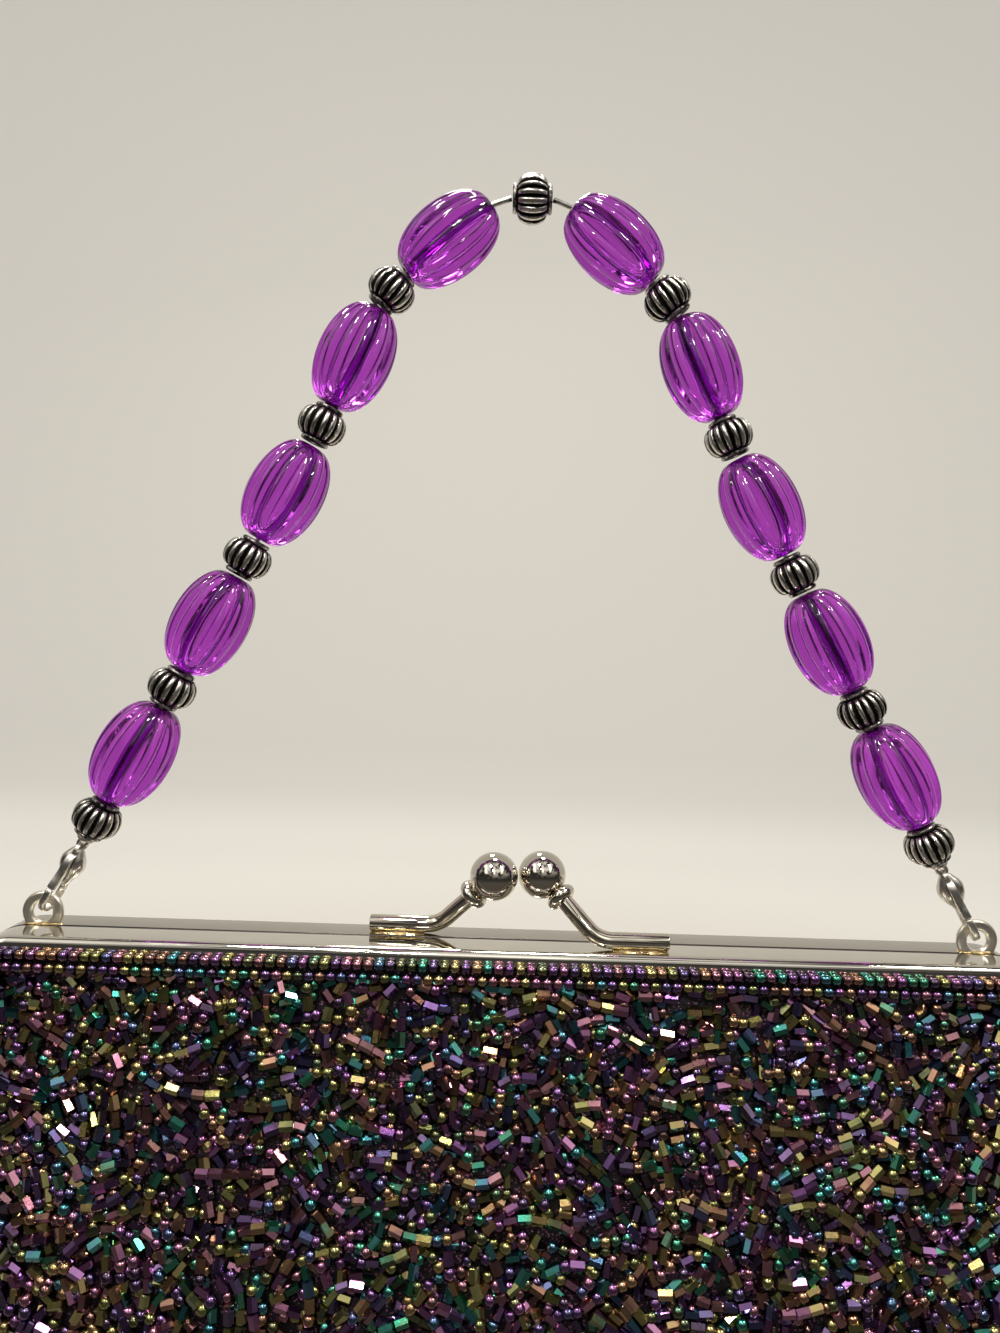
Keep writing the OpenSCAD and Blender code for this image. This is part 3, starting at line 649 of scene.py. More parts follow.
def room_world():
    """A dim even room. Shiny things see it dark at the viewer's side, with pale light high up."""
    world = bpy.data.worlds.new("soft_room")
    world.use_nodes = True
    nodes = Nodes(world.node_tree)
    way = nodes.place("Generated")
    x, y, z = nodes.split(way)
    behind = nodes.span(y, 0.02, 0.3, 0.03, 0.5)
    viewer = nodes.span(y, -0.02, -0.3)
    patchy = nodes.span(nodes.noise(3.2, 2.0, vector=way), 0.4, 0.62, 0.08, 2.1)
    high = nodes.math("MULTIPLY", nodes.span(z, 0.0, 0.7, 0.05, 0.56), patchy)
    # Upright pale streaks, as from windows and door frames
    streak = nodes.math("MULTIPLY", nodes.span(nodes.math("PINGPONG", x, 0.3), 0.12, 0.05),
                        nodes.math("MULTIPLY", nodes.span(z, 0.3, 0.42), nodes.span(z, 0.92, 0.8)))
    room = nodes.math("MULTIPLY", viewer, nodes.math("ADD", high, nodes.math("MULTIPLY", streak, 1.2)))
    ray = nodes.add("ShaderNodeLightPath").outputs
    unseen = nodes.span(ray["Is Glossy Ray"], 0.0, 1.0, 0.13, nodes.math("MAXIMUM", behind, room), "LINEAR")
    nodes.wire(world.node_tree.nodes["Background"], Color=(1.0, 0.96, 0.9),
               Strength=nodes.span(ray["Is Camera Ray"], 0.0, 1.0, unseen, 0.5, "LINEAR"))
    return world


MATERIALS = {}


def make_materials(scene):
    strap, metal, pouch = scene.clutch_strap, scene.clutch_frame, scene.clutch_pouch
    marks, knit = handling_group(), weave_group()
    # Two copies of one plated metal for the frame's halves: the back painted darker, the front lighter, as
    # painted shade and painted reflection. Both get the painted shade along the split
    for key, name, shade in (("plate", "polished_plate", metal.plate),
                             ("front_plate", "bright_plate", metal.front_plate)):
        MATERIALS[key] = nickel_material(name, shade, darker(shade, 0.94), marks, 0.05, 0.14, seam=True)
    MATERIALS.update(
        acrylic=acrylic_material(strap),
        silver=silver_material(strap, marks),
        nickel=nickel_material("polished_nickel", metal.nickel, metal.gold_tint, marks, 0.045, 0.13),
        ball=nickel_material("mirror_nickel", metal.nickel, darker(metal.nickel, 0.96), marks, 0.02, 0.06),
        # The rings' metal is painted lighter than the frame's nickel: painted light for the highlights that
        # their faces don't catch
        ring=nickel_material("warm_nickel", (0.86, 0.82, 0.74), metal.gold_tint, marks,
                             0.3, 0.42, 160.0, 0.08),
        clasp=nickel_material("clasp_nickel", (0.74, 0.71, 0.65), (0.6, 0.57, 0.51), marks,
                              0.26, 0.38, 240.0, 0.06),
        wire=nickel_material("bright_wire", (0.62, 0.6, 0.56), (0.5, 0.48, 0.45), marks,
                             0.15, 0.3, 300.0, 0.05),
        solder=solder_material(marks),
        seed=bead_material("seed_beads", 0.14),
        tube=bead_material("tube_beads", 0.1),
        cloth=cloth_material("plum_knit", pouch.cloth, pouch.glint, knit, 2600.0, 0.14, 0.5),
        lining=cloth_material("plum_lining", pouch.lining, (0.12, 0.05, 0.17), knit, 3200.0, 0.4, 0.45),
        board=fibre_material("grey_board", 0.9, lambda nodes: nodes.noise(1500, 4, 0.7),
                             (0.36, 0.3, 0.22), (0.5, 0.44, 0.33), 0.3),
        paper=fibre_material("paper_cord", 0.85, twist_of, (0.5, 0.42, 0.3), (0.68, 0.6, 0.46), 0.5),
    )


def dress(node, material):
    """Gives a CAD node that stays its material."""
    obj = frame["nodes"][node]
    obj.data.materials.clear()
    obj.data.materials.append(MATERIALS[material])
    obj.data.polygons.foreach_set("material_index", [0] * len(obj.data.polygons))


def place_piece(obj, body, slot, *nodes):
    """Gives a piece the body that it moves with, and hides the CAD nodes that it takes the place of. Its slot
    is not used.
    """
    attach(obj, body)
    if nodes:
        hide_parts(*nodes)


def body_of(node):
    return frame["nodes"][node]["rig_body"]


def put_mesh(mesh, material, slot, node, name=None):
    """Puts a finished mesh in the place of a CAD node."""
    place_piece(new_object(name or mesh.name, mesh, MATERIALS[material]), body_of(node), slot, node)


# Strap

# Points across one flute or rib, and rows from pole to pole
FLUTE_STEPS = 8
OVAL_ROWS = 36
SPACER_ROWS = 22
# How blunt the lobes between the flutes are, and how fast the flutes deepen from the poles
LOBE_POWER = 0.75
FLUTE_RISE = 1.4
# Length of a spacer's rolled rim as a share of half its length, its roll, and the step down inside it
RIM_SHARE = 0.11
RIM_ROLL = 0.42 * MM
RIM_STEP = 0.1 * MM
SPACER_BORE_R = 0.85 * MM
# How blunt a spacer's barrel is, and how fast its grooves deepen and its tarnish thins from the rims
BARREL_POWER = 0.85
GROOVE_RISE = 1.8
TARNISH_FALL = 2.2
RIM_TARNISH = 0.25
# Least width of a groove and what chance adds to it, and how steep its walls are
GROOVE_WIDTH = 0.6
GROOVE_SPREAD = 0.45
GROOVE_POWER = 0.8
# How much the ribs crowd together on one side, as a cast bead's do
RIB_CROWDING = 0.7
GOLDEN_SHARE = 0.6180339


def hash_share(name):
    """A steady number from 0 to 1 for a name."""
    return (sum((i + 1) * ord(c) for i, c in enumerate(name)) * GOLDEN_SHARE) % 1


def oval_mesh(name, sizes, node):
    """A melon-shaped bead: rounded lobes that meet in sharp flutes, with its bore right through."""
    centre, long, radius, axis = bead_frame(node)
    axes, angles = frame_about(axis), turns(sizes.oval_flutes * FLUTE_STEPS)
    turn = hash_share(node) * 2 * math.pi / sizes.oval_flutes
    turned = [a + turn for a in angles]
    lobes = [abs(math.cos(sizes.oval_flutes * a / 2)) ** LOBE_POWER for a in angles]
    rings = []
    for k in range(OVAL_ROWS + 1):
        u = -math.cos(math.pi * k / OVAL_ROWS)
        bulge = math.sqrt(max(0.0, 1 - u * u))
        r = sizes.oval_pole_r + (radius - sizes.oval_pole_r) * bulge
        depth = sizes.flute_depth * min(1.0, FLUTE_RISE * bulge)
        radii = [r * (1 - depth * (1 - lobe)) for lobe in lobes]
        rings.append(ring_at(centre, axes, u * long / 2, radii, turned))
    bore_radii = [sizes.oval_bore_r] * len(turned)
    bore = [ring_at(centre, axes, u * long / 2, bore_radii, turned) for u in (1, 0, -1)]
    mesh = rings_mesh(name, rings + bore, closed=True)
    # Marks the bore's walls, where the acrylic paints its deeper tint as painted shade
    add_float(mesh, "bore", np.repeat([0.0] * len(rings) + [1.0] * len(bore), len(angles)))
    smooth(mesh, 50)
    return mesh


def spacer_profile(sizes, radius):
    """Rows of a spacer: place from -1 to 1, radius, how deep its grooves are and how tarnished it is."""
    rim = [(-1 + RIM_SHARE * (1 - math.cos(a)), sizes.spacer_rim_r + RIM_ROLL * math.sin(a), 0.0, RIM_TARNISH)
           for a in sweep(math.pi, 6)]
    neck = sizes.spacer_rim_r - RIM_STEP
    barrel = []
    for k in range(SPACER_ROWS + 1):
        t = -1 + 2 * k / SPACER_ROWS
        bulge = math.sqrt(max(0.0, 1 - t * t)) ** BARREL_POWER
        barrel.append((t * (1 - 2 * RIM_SHARE), neck + (radius - neck) * bulge,
                       min(1.0, bulge * GROOVE_RISE), 1 - min(1.0, bulge * TARNISH_FALL)))
    return rim + barrel + [(-u, r, rib, shade) for u, r, rib, shade in reversed(rim)]


def spacer_mesh(name, sizes, node):
    """A ribbed barrel with a rolled rim at each end. The recess attribute marks where tarnish stays."""
    centre, long, radius, axis = bead_frame(node)
    axes, ribs = frame_about(axis), sizes.spacer_ribs
    angles = turns(ribs * FLUTE_STEPS)
    turn = hash_share(node) * 2 * math.pi / ribs
    turned = [a + turn for a in angles]
    widths = [GROOVE_WIDTH + GROOVE_SPREAD * hash_share(f"{node} {i}") for i in range(ribs)]
    grooves = []
    for a in angles:
        phase = ribs * a / 2 + RIB_CROWDING * math.sin(a + turn * 9)
        width = widths[round(phase / math.pi) % ribs]
        grooves.append(max(0.0, 1 - abs(math.sin(phase)) / width) ** GROOVE_POWER)
    rings, recess = [], []
    for u, r, rib, shade in spacer_profile(sizes, radius):
        radii = [r * (1 - sizes.groove_depth * groove * rib) for groove in grooves]
        rings.append(ring_at(centre, axes, u * long / 2, radii, turned))
        recess += [max(groove * rib * 1.1, shade) for groove in grooves]
    for u in (1, -1):
        rings.append(ring_at(centre, axes, u * long / 2, [SPACER_BORE_R] * len(turned), turned))
        recess += [1.0] * len(turned)
    mesh = rings_mesh(name, rings, closed=True)
    add_float(mesh, "recess", recess)
    smooth(mesh, 60)
    return mesh


def strap_nodes(kind):
    return [f"{kind}_{side}_{level}" for side in SIDES for level in LEVELS]


class CLUTCH_OT_ovals(bpy.types.Operator):
    """Make the fluted acrylic beads of the strap"""
    bl_idname = "clutch.ovals"
    bl_label = "Oval beads"

    def execute(self, context):
        for node in strap_nodes("oval"):
            mesh = oval_mesh("fluted_" + node, context.scene.clutch_strap, node)
            put_mesh(mesh, "acrylic", "acrylic", node)
        return {"FINISHED"}


class CLUTCH_OT_spacers(bpy.types.Operator):
    """Make the ribbed silver spacers of the strap, and finish its wires"""
    bl_idname = "clutch.spacers"
    bl_label = "Spacers and wires"

    def execute(self, context):
        for node in strap_nodes("spacer") + ["crown_spacer"]:
            mesh = spacer_mesh("ribbed_" + node, context.scene.clutch_strap, node)
            put_mesh(mesh, "silver", "antique_silver", node)
        wires = ["crown_wire", "clasp_pins"] + [f"strap_wire_{level}" for level in LEVELS]
        for node in wires + [f"lever_spring_{side}" for side in SIDES]:
            dress(node, "wire")
        return {"FINISHED"}


# A clasp in its own millimetres: y from the lever to the back, z up from the middle of the hook's bend
CLASP_PIN = (0.3, 9.2)
# Height, half width, half slot, front and back of the body
CLASP_BODY = (
    (2.7, 0.5, 0.0, 1.75, 2.8), (3.6, 0.85, 0.0, 1.3, 3.0), (4.6, 1.25, 0.3, 0.7, 3.0),
    (5.6, 1.8, 0.8, 0.0, 2.95), (6.6, 2.3, 0.95, -0.6, 2.85), (7.6, 2.65, 0.95, -1.0, 2.75),
    (8.5, 2.75, 0.95, -1.15, 2.5), (9.4, 2.6, 0.95, -1.1, 2.1), (10.2, 2.2, 0.9, -0.95, 1.7),
    (10.9, 1.75, 0.4, -0.8, 1.3), (11.6, 1.3, 0.4, -0.65, 0.95), (12.1, 0.8, 0.4, -0.4, 0.6),
)
# Outline of a lever from its side, as (y, z)
LEVER_OUTLINE = (
    (-2.95, 2.75), (-3.0, 3.3), (-2.65, 4.6), (-2.4, 6.0), (-2.3, 7.4), (-2.3, 8.6), (-2.05, 9.7),
    (-1.5, 10.45), (-0.85, 10.8), (-0.35, 10.5), (0.9, 9.9), (1.15, 9.2), (0.9, 8.5), (-0.2, 7.4),
    (-0.9, 5.8), (-1.5, 4.2), (-1.85, 2.9), (-2.2, 2.6),
)
LEVER_HALF_W = 0.78
LEVER_EDGE = 0.18
HOOK_BEND_R = 2.48
HOOK_TIP_Z = 2.35
# Half width and half thickness of the hook's bar and of the floor behind the lever
HOOK_BAR = (0.75, 0.52)
FLOOR_BAR = (1.05, 0.45)
FLOOR_PATH = ((2.15, 4.2), (2.2, 4.6), (2.15, 6.5), (1.95, 8.6), (1.75, 9.8), (1.7, 10.0))
# Height of the eye, and its section as (x, radius)
EYE_Z = 11.4
EYE_SECTION = ((-0.3, 1.1), (-0.4, 1.4), (-0.3, 1.7), (0.3, 1.7), (0.4, 1.4), (0.3, 1.1))
# The doubled wire: half the distance between its legs, height of the loop's centre, and radius
NECK_APART = 0.87
NECK_LOW = 12.87
NECK_WIRE_R = 0.43
# The plate over the doubled wire: thickness, radius and rounding of its rim
NECK_PLATE_T = 0.95
NECK_PLATE_R = 1.85
NECK_PLATE_EDGE = 0.3


def clasp_place(side):
    """A function that puts a point of a clasp's own millimetres in the scene."""
    press = joint(f"lever_{side}_press")
    up = bead_frame(f"spacer_{side}_1")[3]
    across = Vector(press["axis"]).normalized()
    back = up.cross(across)
    if back.y < 0:
        across, back = -across, -back
    pin = Vector(press["pos_m"])
    return lambda x, y, z: pin + (across * x + back * (y - CLASP_PIN[0]) + up * (z - CLASP_PIN[1])) * MM


def cheek_mesh(place, sign):
    """One side of the lens-shaped body, hollowed by the lever's slot."""
    table = np.array(CLASP_BODY)
    rings = []
    for z in np.linspace(table[0, 0], table[-1, 0], 34):
        wide, slot, front, back = (np.interp([z - 0.3, z, z + 0.3], table[:, 0], column).mean()
                                   for column in table[:, 1:].T)
        rings.append([place(sign * (slot + (wide - slot) * max(0.0, math.cos(a)) ** 0.8),
                            (front + back) / 2 + (back - front) / 2 * math.sin(a), z)
                      for a in np.linspace(-math.pi / 2, math.pi / 2, 15)])
    return solid_mesh("cheek", rings)


def blunt(value, power):
    """A sine or cosine bent towards a square's, with its sign kept."""
    return math.copysign(abs(value) ** power, value)


def bar_mesh(name, place, path, bar):
    """A flat bar with round edges along a path of (y, z) points, its ends rounded off."""
    points = [Vector(p) for p in path]
    last = len(points) - 1
    rings = []
    for k, p in enumerate(points):
        along = (points[min(k + 1, last)] - points[max(k - 1, 0)]).normalized()
        half_w, half_t = (size * (0.8 if k in (0, last) else 1.0) for size in bar)
        ring = []
        for a in turns(20):
            v = half_t * blunt(math.sin(a), 0.7)
            ring.append(place(half_w * blunt(math.cos(a), 0.55), p.x + along.y * v, p.y - along.x * v))
        rings.append(ring)
    return solid_mesh(name, rings)


def clasp_body_meshes(side):
    place = clasp_place(side)
    hook = [(HOOK_BEND_R, z) for z in (4.3, 4.1, 3.0, 1.5)]
    hook += [(HOOK_BEND_R * math.cos(a), -HOOK_BEND_R * math.sin(a)) for a in sweep(math.pi, 18)]
    hook += [(-HOOK_BEND_R, z) for z in (1.2, HOOK_TIP_Z - 0.15, HOOK_TIP_Z)]
    eye = [[place(x, r * math.cos(a), EYE_Z + r * math.sin(a)) for x, r in EYE_SECTION] for a in turns(36)]
    return [cheek_mesh(place, -1), cheek_mesh(place, 1), bar_mesh("hook", place, hook, HOOK_BAR),
            bar_mesh("floor", place, FLOOR_PATH, FLOOR_BAR), solid_mesh("eye", eye, closed=True)]


def lever_mesh(side):
    place = clasp_place(side)
    corners = [place(-LEVER_HALF_W, y, z) for y, z in LEVER_OUTLINE]
    push = place(LEVER_HALF_W, 0, 0) - place(-LEVER_HALF_W, 0, 0)
    return plate_mesh("lever", corners, push, LEVER_EDGE * MM)


def neck_meshes(side):
    """The doubled wire that hangs the clasp, and the plate that closes it under the last spacer."""
    place = clasp_place(side)
    origin = place(0, 0, 0)
    up = (place(0, 0, 1) - origin).normalized()
    top = float(max((node_points(f"neck_loop_{side}") - np.array(origin)) @ np.array(up))) / MM
    legs = [(NECK_APART, NECK_LOW), (NECK_APART, top - NECK_PLATE_T)]
    path = [(-x, z) for x, z in reversed(legs)]
    path += [(-NECK_APART * math.cos(a), NECK_LOW - NECK_APART * math.sin(a))
             for a in sweep(math.pi, 12)[1:-1]]
    rim = [(NECK_PLATE_T / 2 * math.sin(a), NECK_PLATE_R - NECK_PLATE_EDGE + NECK_PLATE_EDGE * math.cos(a))
           for a in degrees(-90, 90, 15)]
    profile = [(MM * h, MM * r)
               for h, r in [(-NECK_PLATE_T / 2, 0.01)] + rim + [(NECK_PLATE_T / 2, 0.01)]]
    plate = lathe_mesh("plate", profile, place(0, 0, top - NECK_PLATE_T / 2), up, 40)
    return [tube_mesh("wire", [place(x, 0, z) for x, z in path + legs], NECK_WIRE_R * MM, 20), plate]


class CLUTCH_OT_clasps(bpy.types.Operator):
    """Make the bodies, levers and wire necks of the two clasps"""
    bl_idname = "clutch.clasps"
    bl_label = "Clasps"

    def execute(self, context):
        for side in SIDES:
            made = {"clasp_body": clasp_body_meshes(side), "clasp_lever": [lever_mesh(side)],
                    "neck_loop": neck_meshes(side)}
            for part, meshes in made.items():
                node = f"{part}_{side}"
                obj = joined("cast_" + node, meshes, MATERIALS["clasp"])
                smooth(obj.data, 40)
                place_piece(obj, body_of(node), "clasp_nickel", node)
        return {"FINISHED"}


# Frame, rings and kiss lock

def frame_section(sizes, depth):
    """One half's section as (distance out from the corner's centre, distance from the split)."""
    out, low = sizes.corner_r, sizes.corner_r - sizes.channel_h
    near, far, t = sizes.split_gap / 2, depth / 2, sizes.sheet_t
    lip = 0.3 * MM
    points = [(low, near), (out, near), (out, far), (low, far), (low, far - t), (out - t, far - t),
              (out - t, near + t), (low, near + t)]
    radii = [lip, sizes.split_edge_r, sizes.edge_r, lip, lip, sizes.edge_r - t, lip, lip]
    return rounded(points, radii)


CORNER_STEPS = 20
# How far the arms end above the round of the ears, and how far the front ears lap over them
ARM_GAP = 1.5 * MM
EAR_LAP = 5 * MM


def frame_stations(sizes, width, top, arm_end):
    """Places along the frame: the section's centre and its outward direction in X and Z."""
    cx, cz = width / 2 - sizes.corner_r, top - sizes.corner_r
    turn = sweep(math.pi / 2, CORNER_STEPS)
    stations = [(-cx, arm_end, -1.0, 0.0)]
    stations += [(-cx, cz, -math.cos(a), math.sin(a)) for a in turn]
    stations += [(cx, cz, math.sin(a), math.cos(a)) for a in turn]
    stations += [(cx, arm_end, 1.0, 0.0)]
    return stations


def half_frame_mesh(name, sizes, node, sign):
    """The channel of one half, swept down one arm, over the top and down the other."""
    low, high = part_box(node)
    width, top = high.x - low.x, high.z
    depth = 2 * max(abs(low.y), abs(high.y))
    arm_end = hinge_z() + sizes.ear_r + ARM_GAP
    section = frame_section(sizes, depth)
    rings = [[Vector((cx + u * nx, sign * v, cz + u * nz)) for u, v in section]
             for cx, cz, nx, nz in frame_stations(sizes, width, top, arm_end)]
    return solid_mesh(name, rings)


def joint(name):
    return next(j for j in frame["joints"] if j["name"] == name)


def hinge_z():
    return joint("frame_open")["pos_m"][2]


def plate_mesh(name, corners, push, edge=0.12 * MM):
    """A flat plate from its corners, pushed to its thickness, with softened edges."""
    push = Vector(push)
    bm = bmesh.new()
    face = bm.faces.new([bm.verts.new(p) for p in corners])
    made = bmesh.ops.extrude_face_region(bm, geom=[face])
    moved = [v for v in made["geom"] if isinstance(v, bmesh.types.BMVert)]
    bmesh.ops.translate(bm, verts=moved, vec=push)
    bmesh.ops.recalc_face_normals(bm, faces=bm.faces)
    way = push.normalized()
    rims = [e for e in bm.edges if abs((e.verts[0].co - e.verts[1].co).dot(way)) < 0.01 * push.length]
    bmesh.ops.bevel(bm, geom=rims, offset=edge, segments=2, profile=0.5, affect="EDGES")
    return mesh_from(name, bm)


def ear_meshes(sizes, node, back):
    """The ears at the foot of both arms of one half, each round at its rivet."""
    low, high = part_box(node)
    y0, z0 = joint("frame_open")["pos_m"][1:]
    t, r, near = sizes.sheet_t, sizes.ear_r, sizes.split_gap / 2
    half_depth = max(abs(low.y), abs(high.y))
    arm = z0 + r + ARM_GAP
    sign = 1 if back else -1
    outline = [(y0 + sign * r * math.cos(a), z0 + r * math.sin(a)) for a in degrees(0, -180, -10)]
    outline.append((sign * (near - r * 0.55), z0 + r * 0.8))
    if back:
        outline += [(near, arm), (half_depth - sizes.edge_r, arm)]
        x = high.x - t
    else:
        lap = arm + EAR_LAP
        outline += [(-near - t / 2, arm), (-near - t / 2, lap), (-(half_depth - t / 2), lap),
                    (-(half_depth - t / 2), arm)]
        x = high.x - 2 * t - sizes.ear_play
    return [plate_mesh("ear", [(way * x, y, z) for y, z in outline], (way * t, 0, 0)) for way in (1, -1)]


def rivet_meshes(sizes, node):
    """Both rivets: a flat head inside, a shank through the ears and a domed head outside."""
    low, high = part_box(node)
    frame_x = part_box("back_frame")[1].x
    head_h, head_r = high.x - frame_x, (high.z - low.z) / 2
    dome = [(head_h * math.sin(a), head_r * math.cos(a)) for a in degrees(0, 80, 10)]
    grip = 2 * sizes.sheet_t + 2 * sizes.ear_play
    bottom = -grip - head_h
    inner = [(bottom, 0.01 * MM), (bottom, head_r - 0.2 * MM), (bottom + 0.15 * MM, head_r), (-grip, head_r),
             (-grip, sizes.rivet_r), (0, sizes.rivet_r)]
    profile = inner + dome + [(head_h, 0.01 * MM)]
    return [lathe_mesh("rivet", profile, (way * frame_x, 0, hinge_z()), (way, 0, 0), 40) for way in (-1, 1)]


# Rounding of a ring's section, and how far its foot stops above the CAD ring's
RING_EDGE_R = 0.78 * MM
RING_FOOT_GAP = 0.02 * MM


def ring_mesh(name, sizes, node):
    """A flat ring with rounded edges, its foot cut off and seated in solder."""
    low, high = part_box(node)
    outer = (high.x - low.x) / 2
    centre = Vector(((low.x + high.x) / 2, (low.y + high.y) / 2, high.z - outer))
    thick, hole = high.y - low.y, sizes.ring_hole_r
    section = rounded([(hole, -thick / 2), (outer, -thick / 2), (outer, thick / 2), (hole, thick / 2)],
                      [RING_EDGE_R] * 4)
    floor = low.z + RING_FOOT_GAP
    rings = [[Vector((centre.x + u * math.cos(a), centre.y + v, max(floor, centre.z + u * math.sin(a))))
              for u, v in section] for a in turns(72)]
    return solid_mesh(name, rings, closed=True)


def foot_solder_mesh(name, low, high):
    """A low mound of solder over a rectangle, thicker at its middle and rough along its edge."""
    rows, columns = 9, 28
    rings = []
    for i in range(columns + 1):
        t = -1 + 2 * i / columns
        end = 1 - abs(t) ** 6
        ring = []
        for j in range(rows + 1):
            s = -1 + 2 * j / rows
            wobble = 1 + 0.06 * math.sin(9 * t + 2 * s) + 0.04 * math.sin(23 * t)
            y = (low.y + high.y) / 2 + s * (high.y - low.y) / 2 * (0.35 + 0.65 * end) * wobble
            z = low.z + (high.z - low.z) * end * (1 - abs(s) ** 2.5)
            ring.append(Vector(((low.x + high.x) / 2 + t * (high.x - low.x) / 2, y, z)))
        rings.append(ring + [Vector((p.x, p.y, low.z)) for p in reversed(ring[1:-1])])
    return solid_mesh(name, rings)


def rod_path(sizes, half):
    """The middle line of a lock rod: its foot along the frame, a round bend, and its rise to the ball."""
    ball = centre_of(f"{half}_lock_ball")
    low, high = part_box(f"{half}_lock_rod")
    r = sizes.rod_d / 2
    sign = -1 if half == "back" else 1
    foot_y = high.y - r if half == "back" else low.y + r
    foot_z = low.z + r
    foot = Vector((low.x if sign < 0 else high.x, foot_y, foot_z))
    corner = Vector((ball.x + sign * sizes.rod_reach, foot_y, foot_z))
    inwards = Vector((-sign, 0, 0))
    rise = (ball - corner).normalized()
    bend = inwards.angle(rise)
    run = sizes.bend_r * math.tan(bend / 2)
    out = -(rise - inwards * rise.dot(inwards)).normalized()
    middle = corner - inwards * run - out * sizes.bend_r
    arc = [middle + sizes.bend_r * (math.cos(a) * out + math.sin(a) * inwards) for a in sweep(bend, 12)]
    ball_r = half_sizes(f"{half}_lock_ball").x
    return [foot] + arc + [ball - rise * ball_r * 0.9], rise, ball, ball_r


def ball_mesh(name, ball, ball_r, rise):
    """A spun ball, open only where its collar and rod close it."""
    profile = [(ball_r * math.cos(a), max(0.001 * MM, ball_r * math.sin(a)))
               for a in sweep(math.radians(165), 48)]
    return lathe_mesh(name, profile, ball, rise, 96)


def collar_mesh(name, node, sizes, ball, rise):
    """A fat rolled collar on the rod, close under its ball."""
    middle = ball - rise * (ball - centre_of(node)).dot(rise)
    outer, half = sizes.collar_d / 2, sizes.collar_t / 2
    inner = sizes.rod_d / 2 - 0.1 * MM
    roll = [(half * math.sin(a), outer - half + half * math.cos(a)) for a in degrees(-90, 90, 10)]
    return lathe_mesh(name, [(-half, inner)] + roll + [(half, inner)], middle, rise, 64)


# How far the solder spreads past a ring's foot along and across the frame. Along it, it stops short
SOLDER_SPREAD = Vector((-0.2 * MM, 0.35 * MM, 0))
RING_SOLDER_H = 0.45 * MM
# Name, material and slot of each part of the kiss lock
LOCK_PARTS = {
    "rod": ("bent_rod", "nickel", "nickel"), "collar": ("bent_collar", "nickel", "nickel"),
    "ball": ("spun_ball", "ball", "nickel"), "solder": ("bent_solder", "solder", "solder"),
}


class CLUTCH_OT_frame(bpy.types.Operator):
    """Make the two halves of the frame with their ears and rivets, and the strap's rings"""
    bl_idname = "clutch.frame"
    bl_label = "Frame and rings"

    def execute(self, context):
        sizes = context.scene.clutch_frame
        for node, sign in (("back_frame", 1), ("front_frame", -1)):
            meshes = [half_frame_mesh(node, sizes, node, sign)] + ear_meshes(sizes, node, sign > 0)
            # The back half takes the copy painted darker, the front half the one painted lighter: painted
            # shade and painted reflection
            obj = joined("polished_" + node, meshes, MATERIALS["plate" if sign > 0 else "front_plate"])
            smooth(obj.data, 40)
            place_piece(obj, body_of(node), "nickel", node)
        rivets = joined("domed_rivets", rivet_meshes(sizes, "hinge_rivets"), MATERIALS["nickel"])
        smooth(rivets.data, 40)
        place_piece(rivets, body_of("hinge_rivets"), "nickel", "hinge_rivets")
        for side in SIDES:
            node = f"ring_{side}"
            low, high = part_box(node)
            mesh = ring_mesh("round_" + node, sizes, node)
            smooth(mesh, 50)
            put_mesh(mesh, "ring", "nickel", node)
            top = Vector((high.x, high.y, low.z + RING_SOLDER_H))
            foot = foot_solder_mesh(f"solder_{node}", Vector(low) - SOLDER_SPREAD, top + SOLDER_SPREAD)
            smooth(foot, 50)
            place_piece(new_object(foot.name, foot, MATERIALS["solder"]), body_of(node), "solder")
        return {"FINISHED"}


class CLUTCH_OT_lock(bpy.types.Operator):
    """Make the kiss lock: two bent rods with their collars, balls and solder"""
    bl_idname = "clutch.lock"
    bl_label = "Kiss lock"

    def execute(self, context):
        sizes = context.scene.clutch_frame
        for half in ("back", "front"):
            path, rise, ball, ball_r = rod_path(sizes, half)
            made = {
                "rod": tube_mesh("rod", path, sizes.rod_d / 2, 40, sizes.rod_edge_r),
                "collar": collar_mesh("collar", f"{half}_lock_collar", sizes, ball, rise),
                "ball": ball_mesh("ball", ball, ball_r, rise),
                "solder": foot_solder_mesh("solder", *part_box(f"{half}_lock_solder")),
            }
            for part, mesh in made.items():
                smooth(mesh, 50)
                label, material, slot = LOCK_PARTS[part]
                put_mesh(mesh, material, slot, f"{half}_lock_{part}", f"{half}_{label}")
        return {"FINISHED"}


# Pouch

# Gap between the cloth and the frame's lips
LIP_PLAY = 0.3 * MM
# Waves of the cloth's soft swells along the frame and up it, and their shift along the frame
SWELL_X = 0.021
SWELL_Z = 0.017
SWELL_SHIFT = 1.3
# Half the step that the surface's directions are measured over
PROBE = 2e-4


def pouch_profile():
    """Rows of (height, half depth, half width) from the CAD pouch's own size, base to lips."""
    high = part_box("beaded_body")[1]
    frame_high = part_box("back_frame")[1]
    scene = bpy.context.scene
    metal, pouch = scene.clutch_frame, scene.clutch_pouch
    lips = frame_high.z - metal.channel_h - LIP_PLAY
    tuck = frame_high.y - metal.sheet_t - LIP_PLAY
    shoulder = frame_high.x - metal.channel_h - pouch.arm_play
    deep, wide = high.y, high.x
    rows = [(share * lips, tuck + (deep - tuck) * swell, shoulder + (wide - shoulder) * spread)
            for share, swell, spread in POUCH_SHARES]
    rows.append((lips, tuck, frame_high.x - metal.corner_r))
    return np.array(rows)


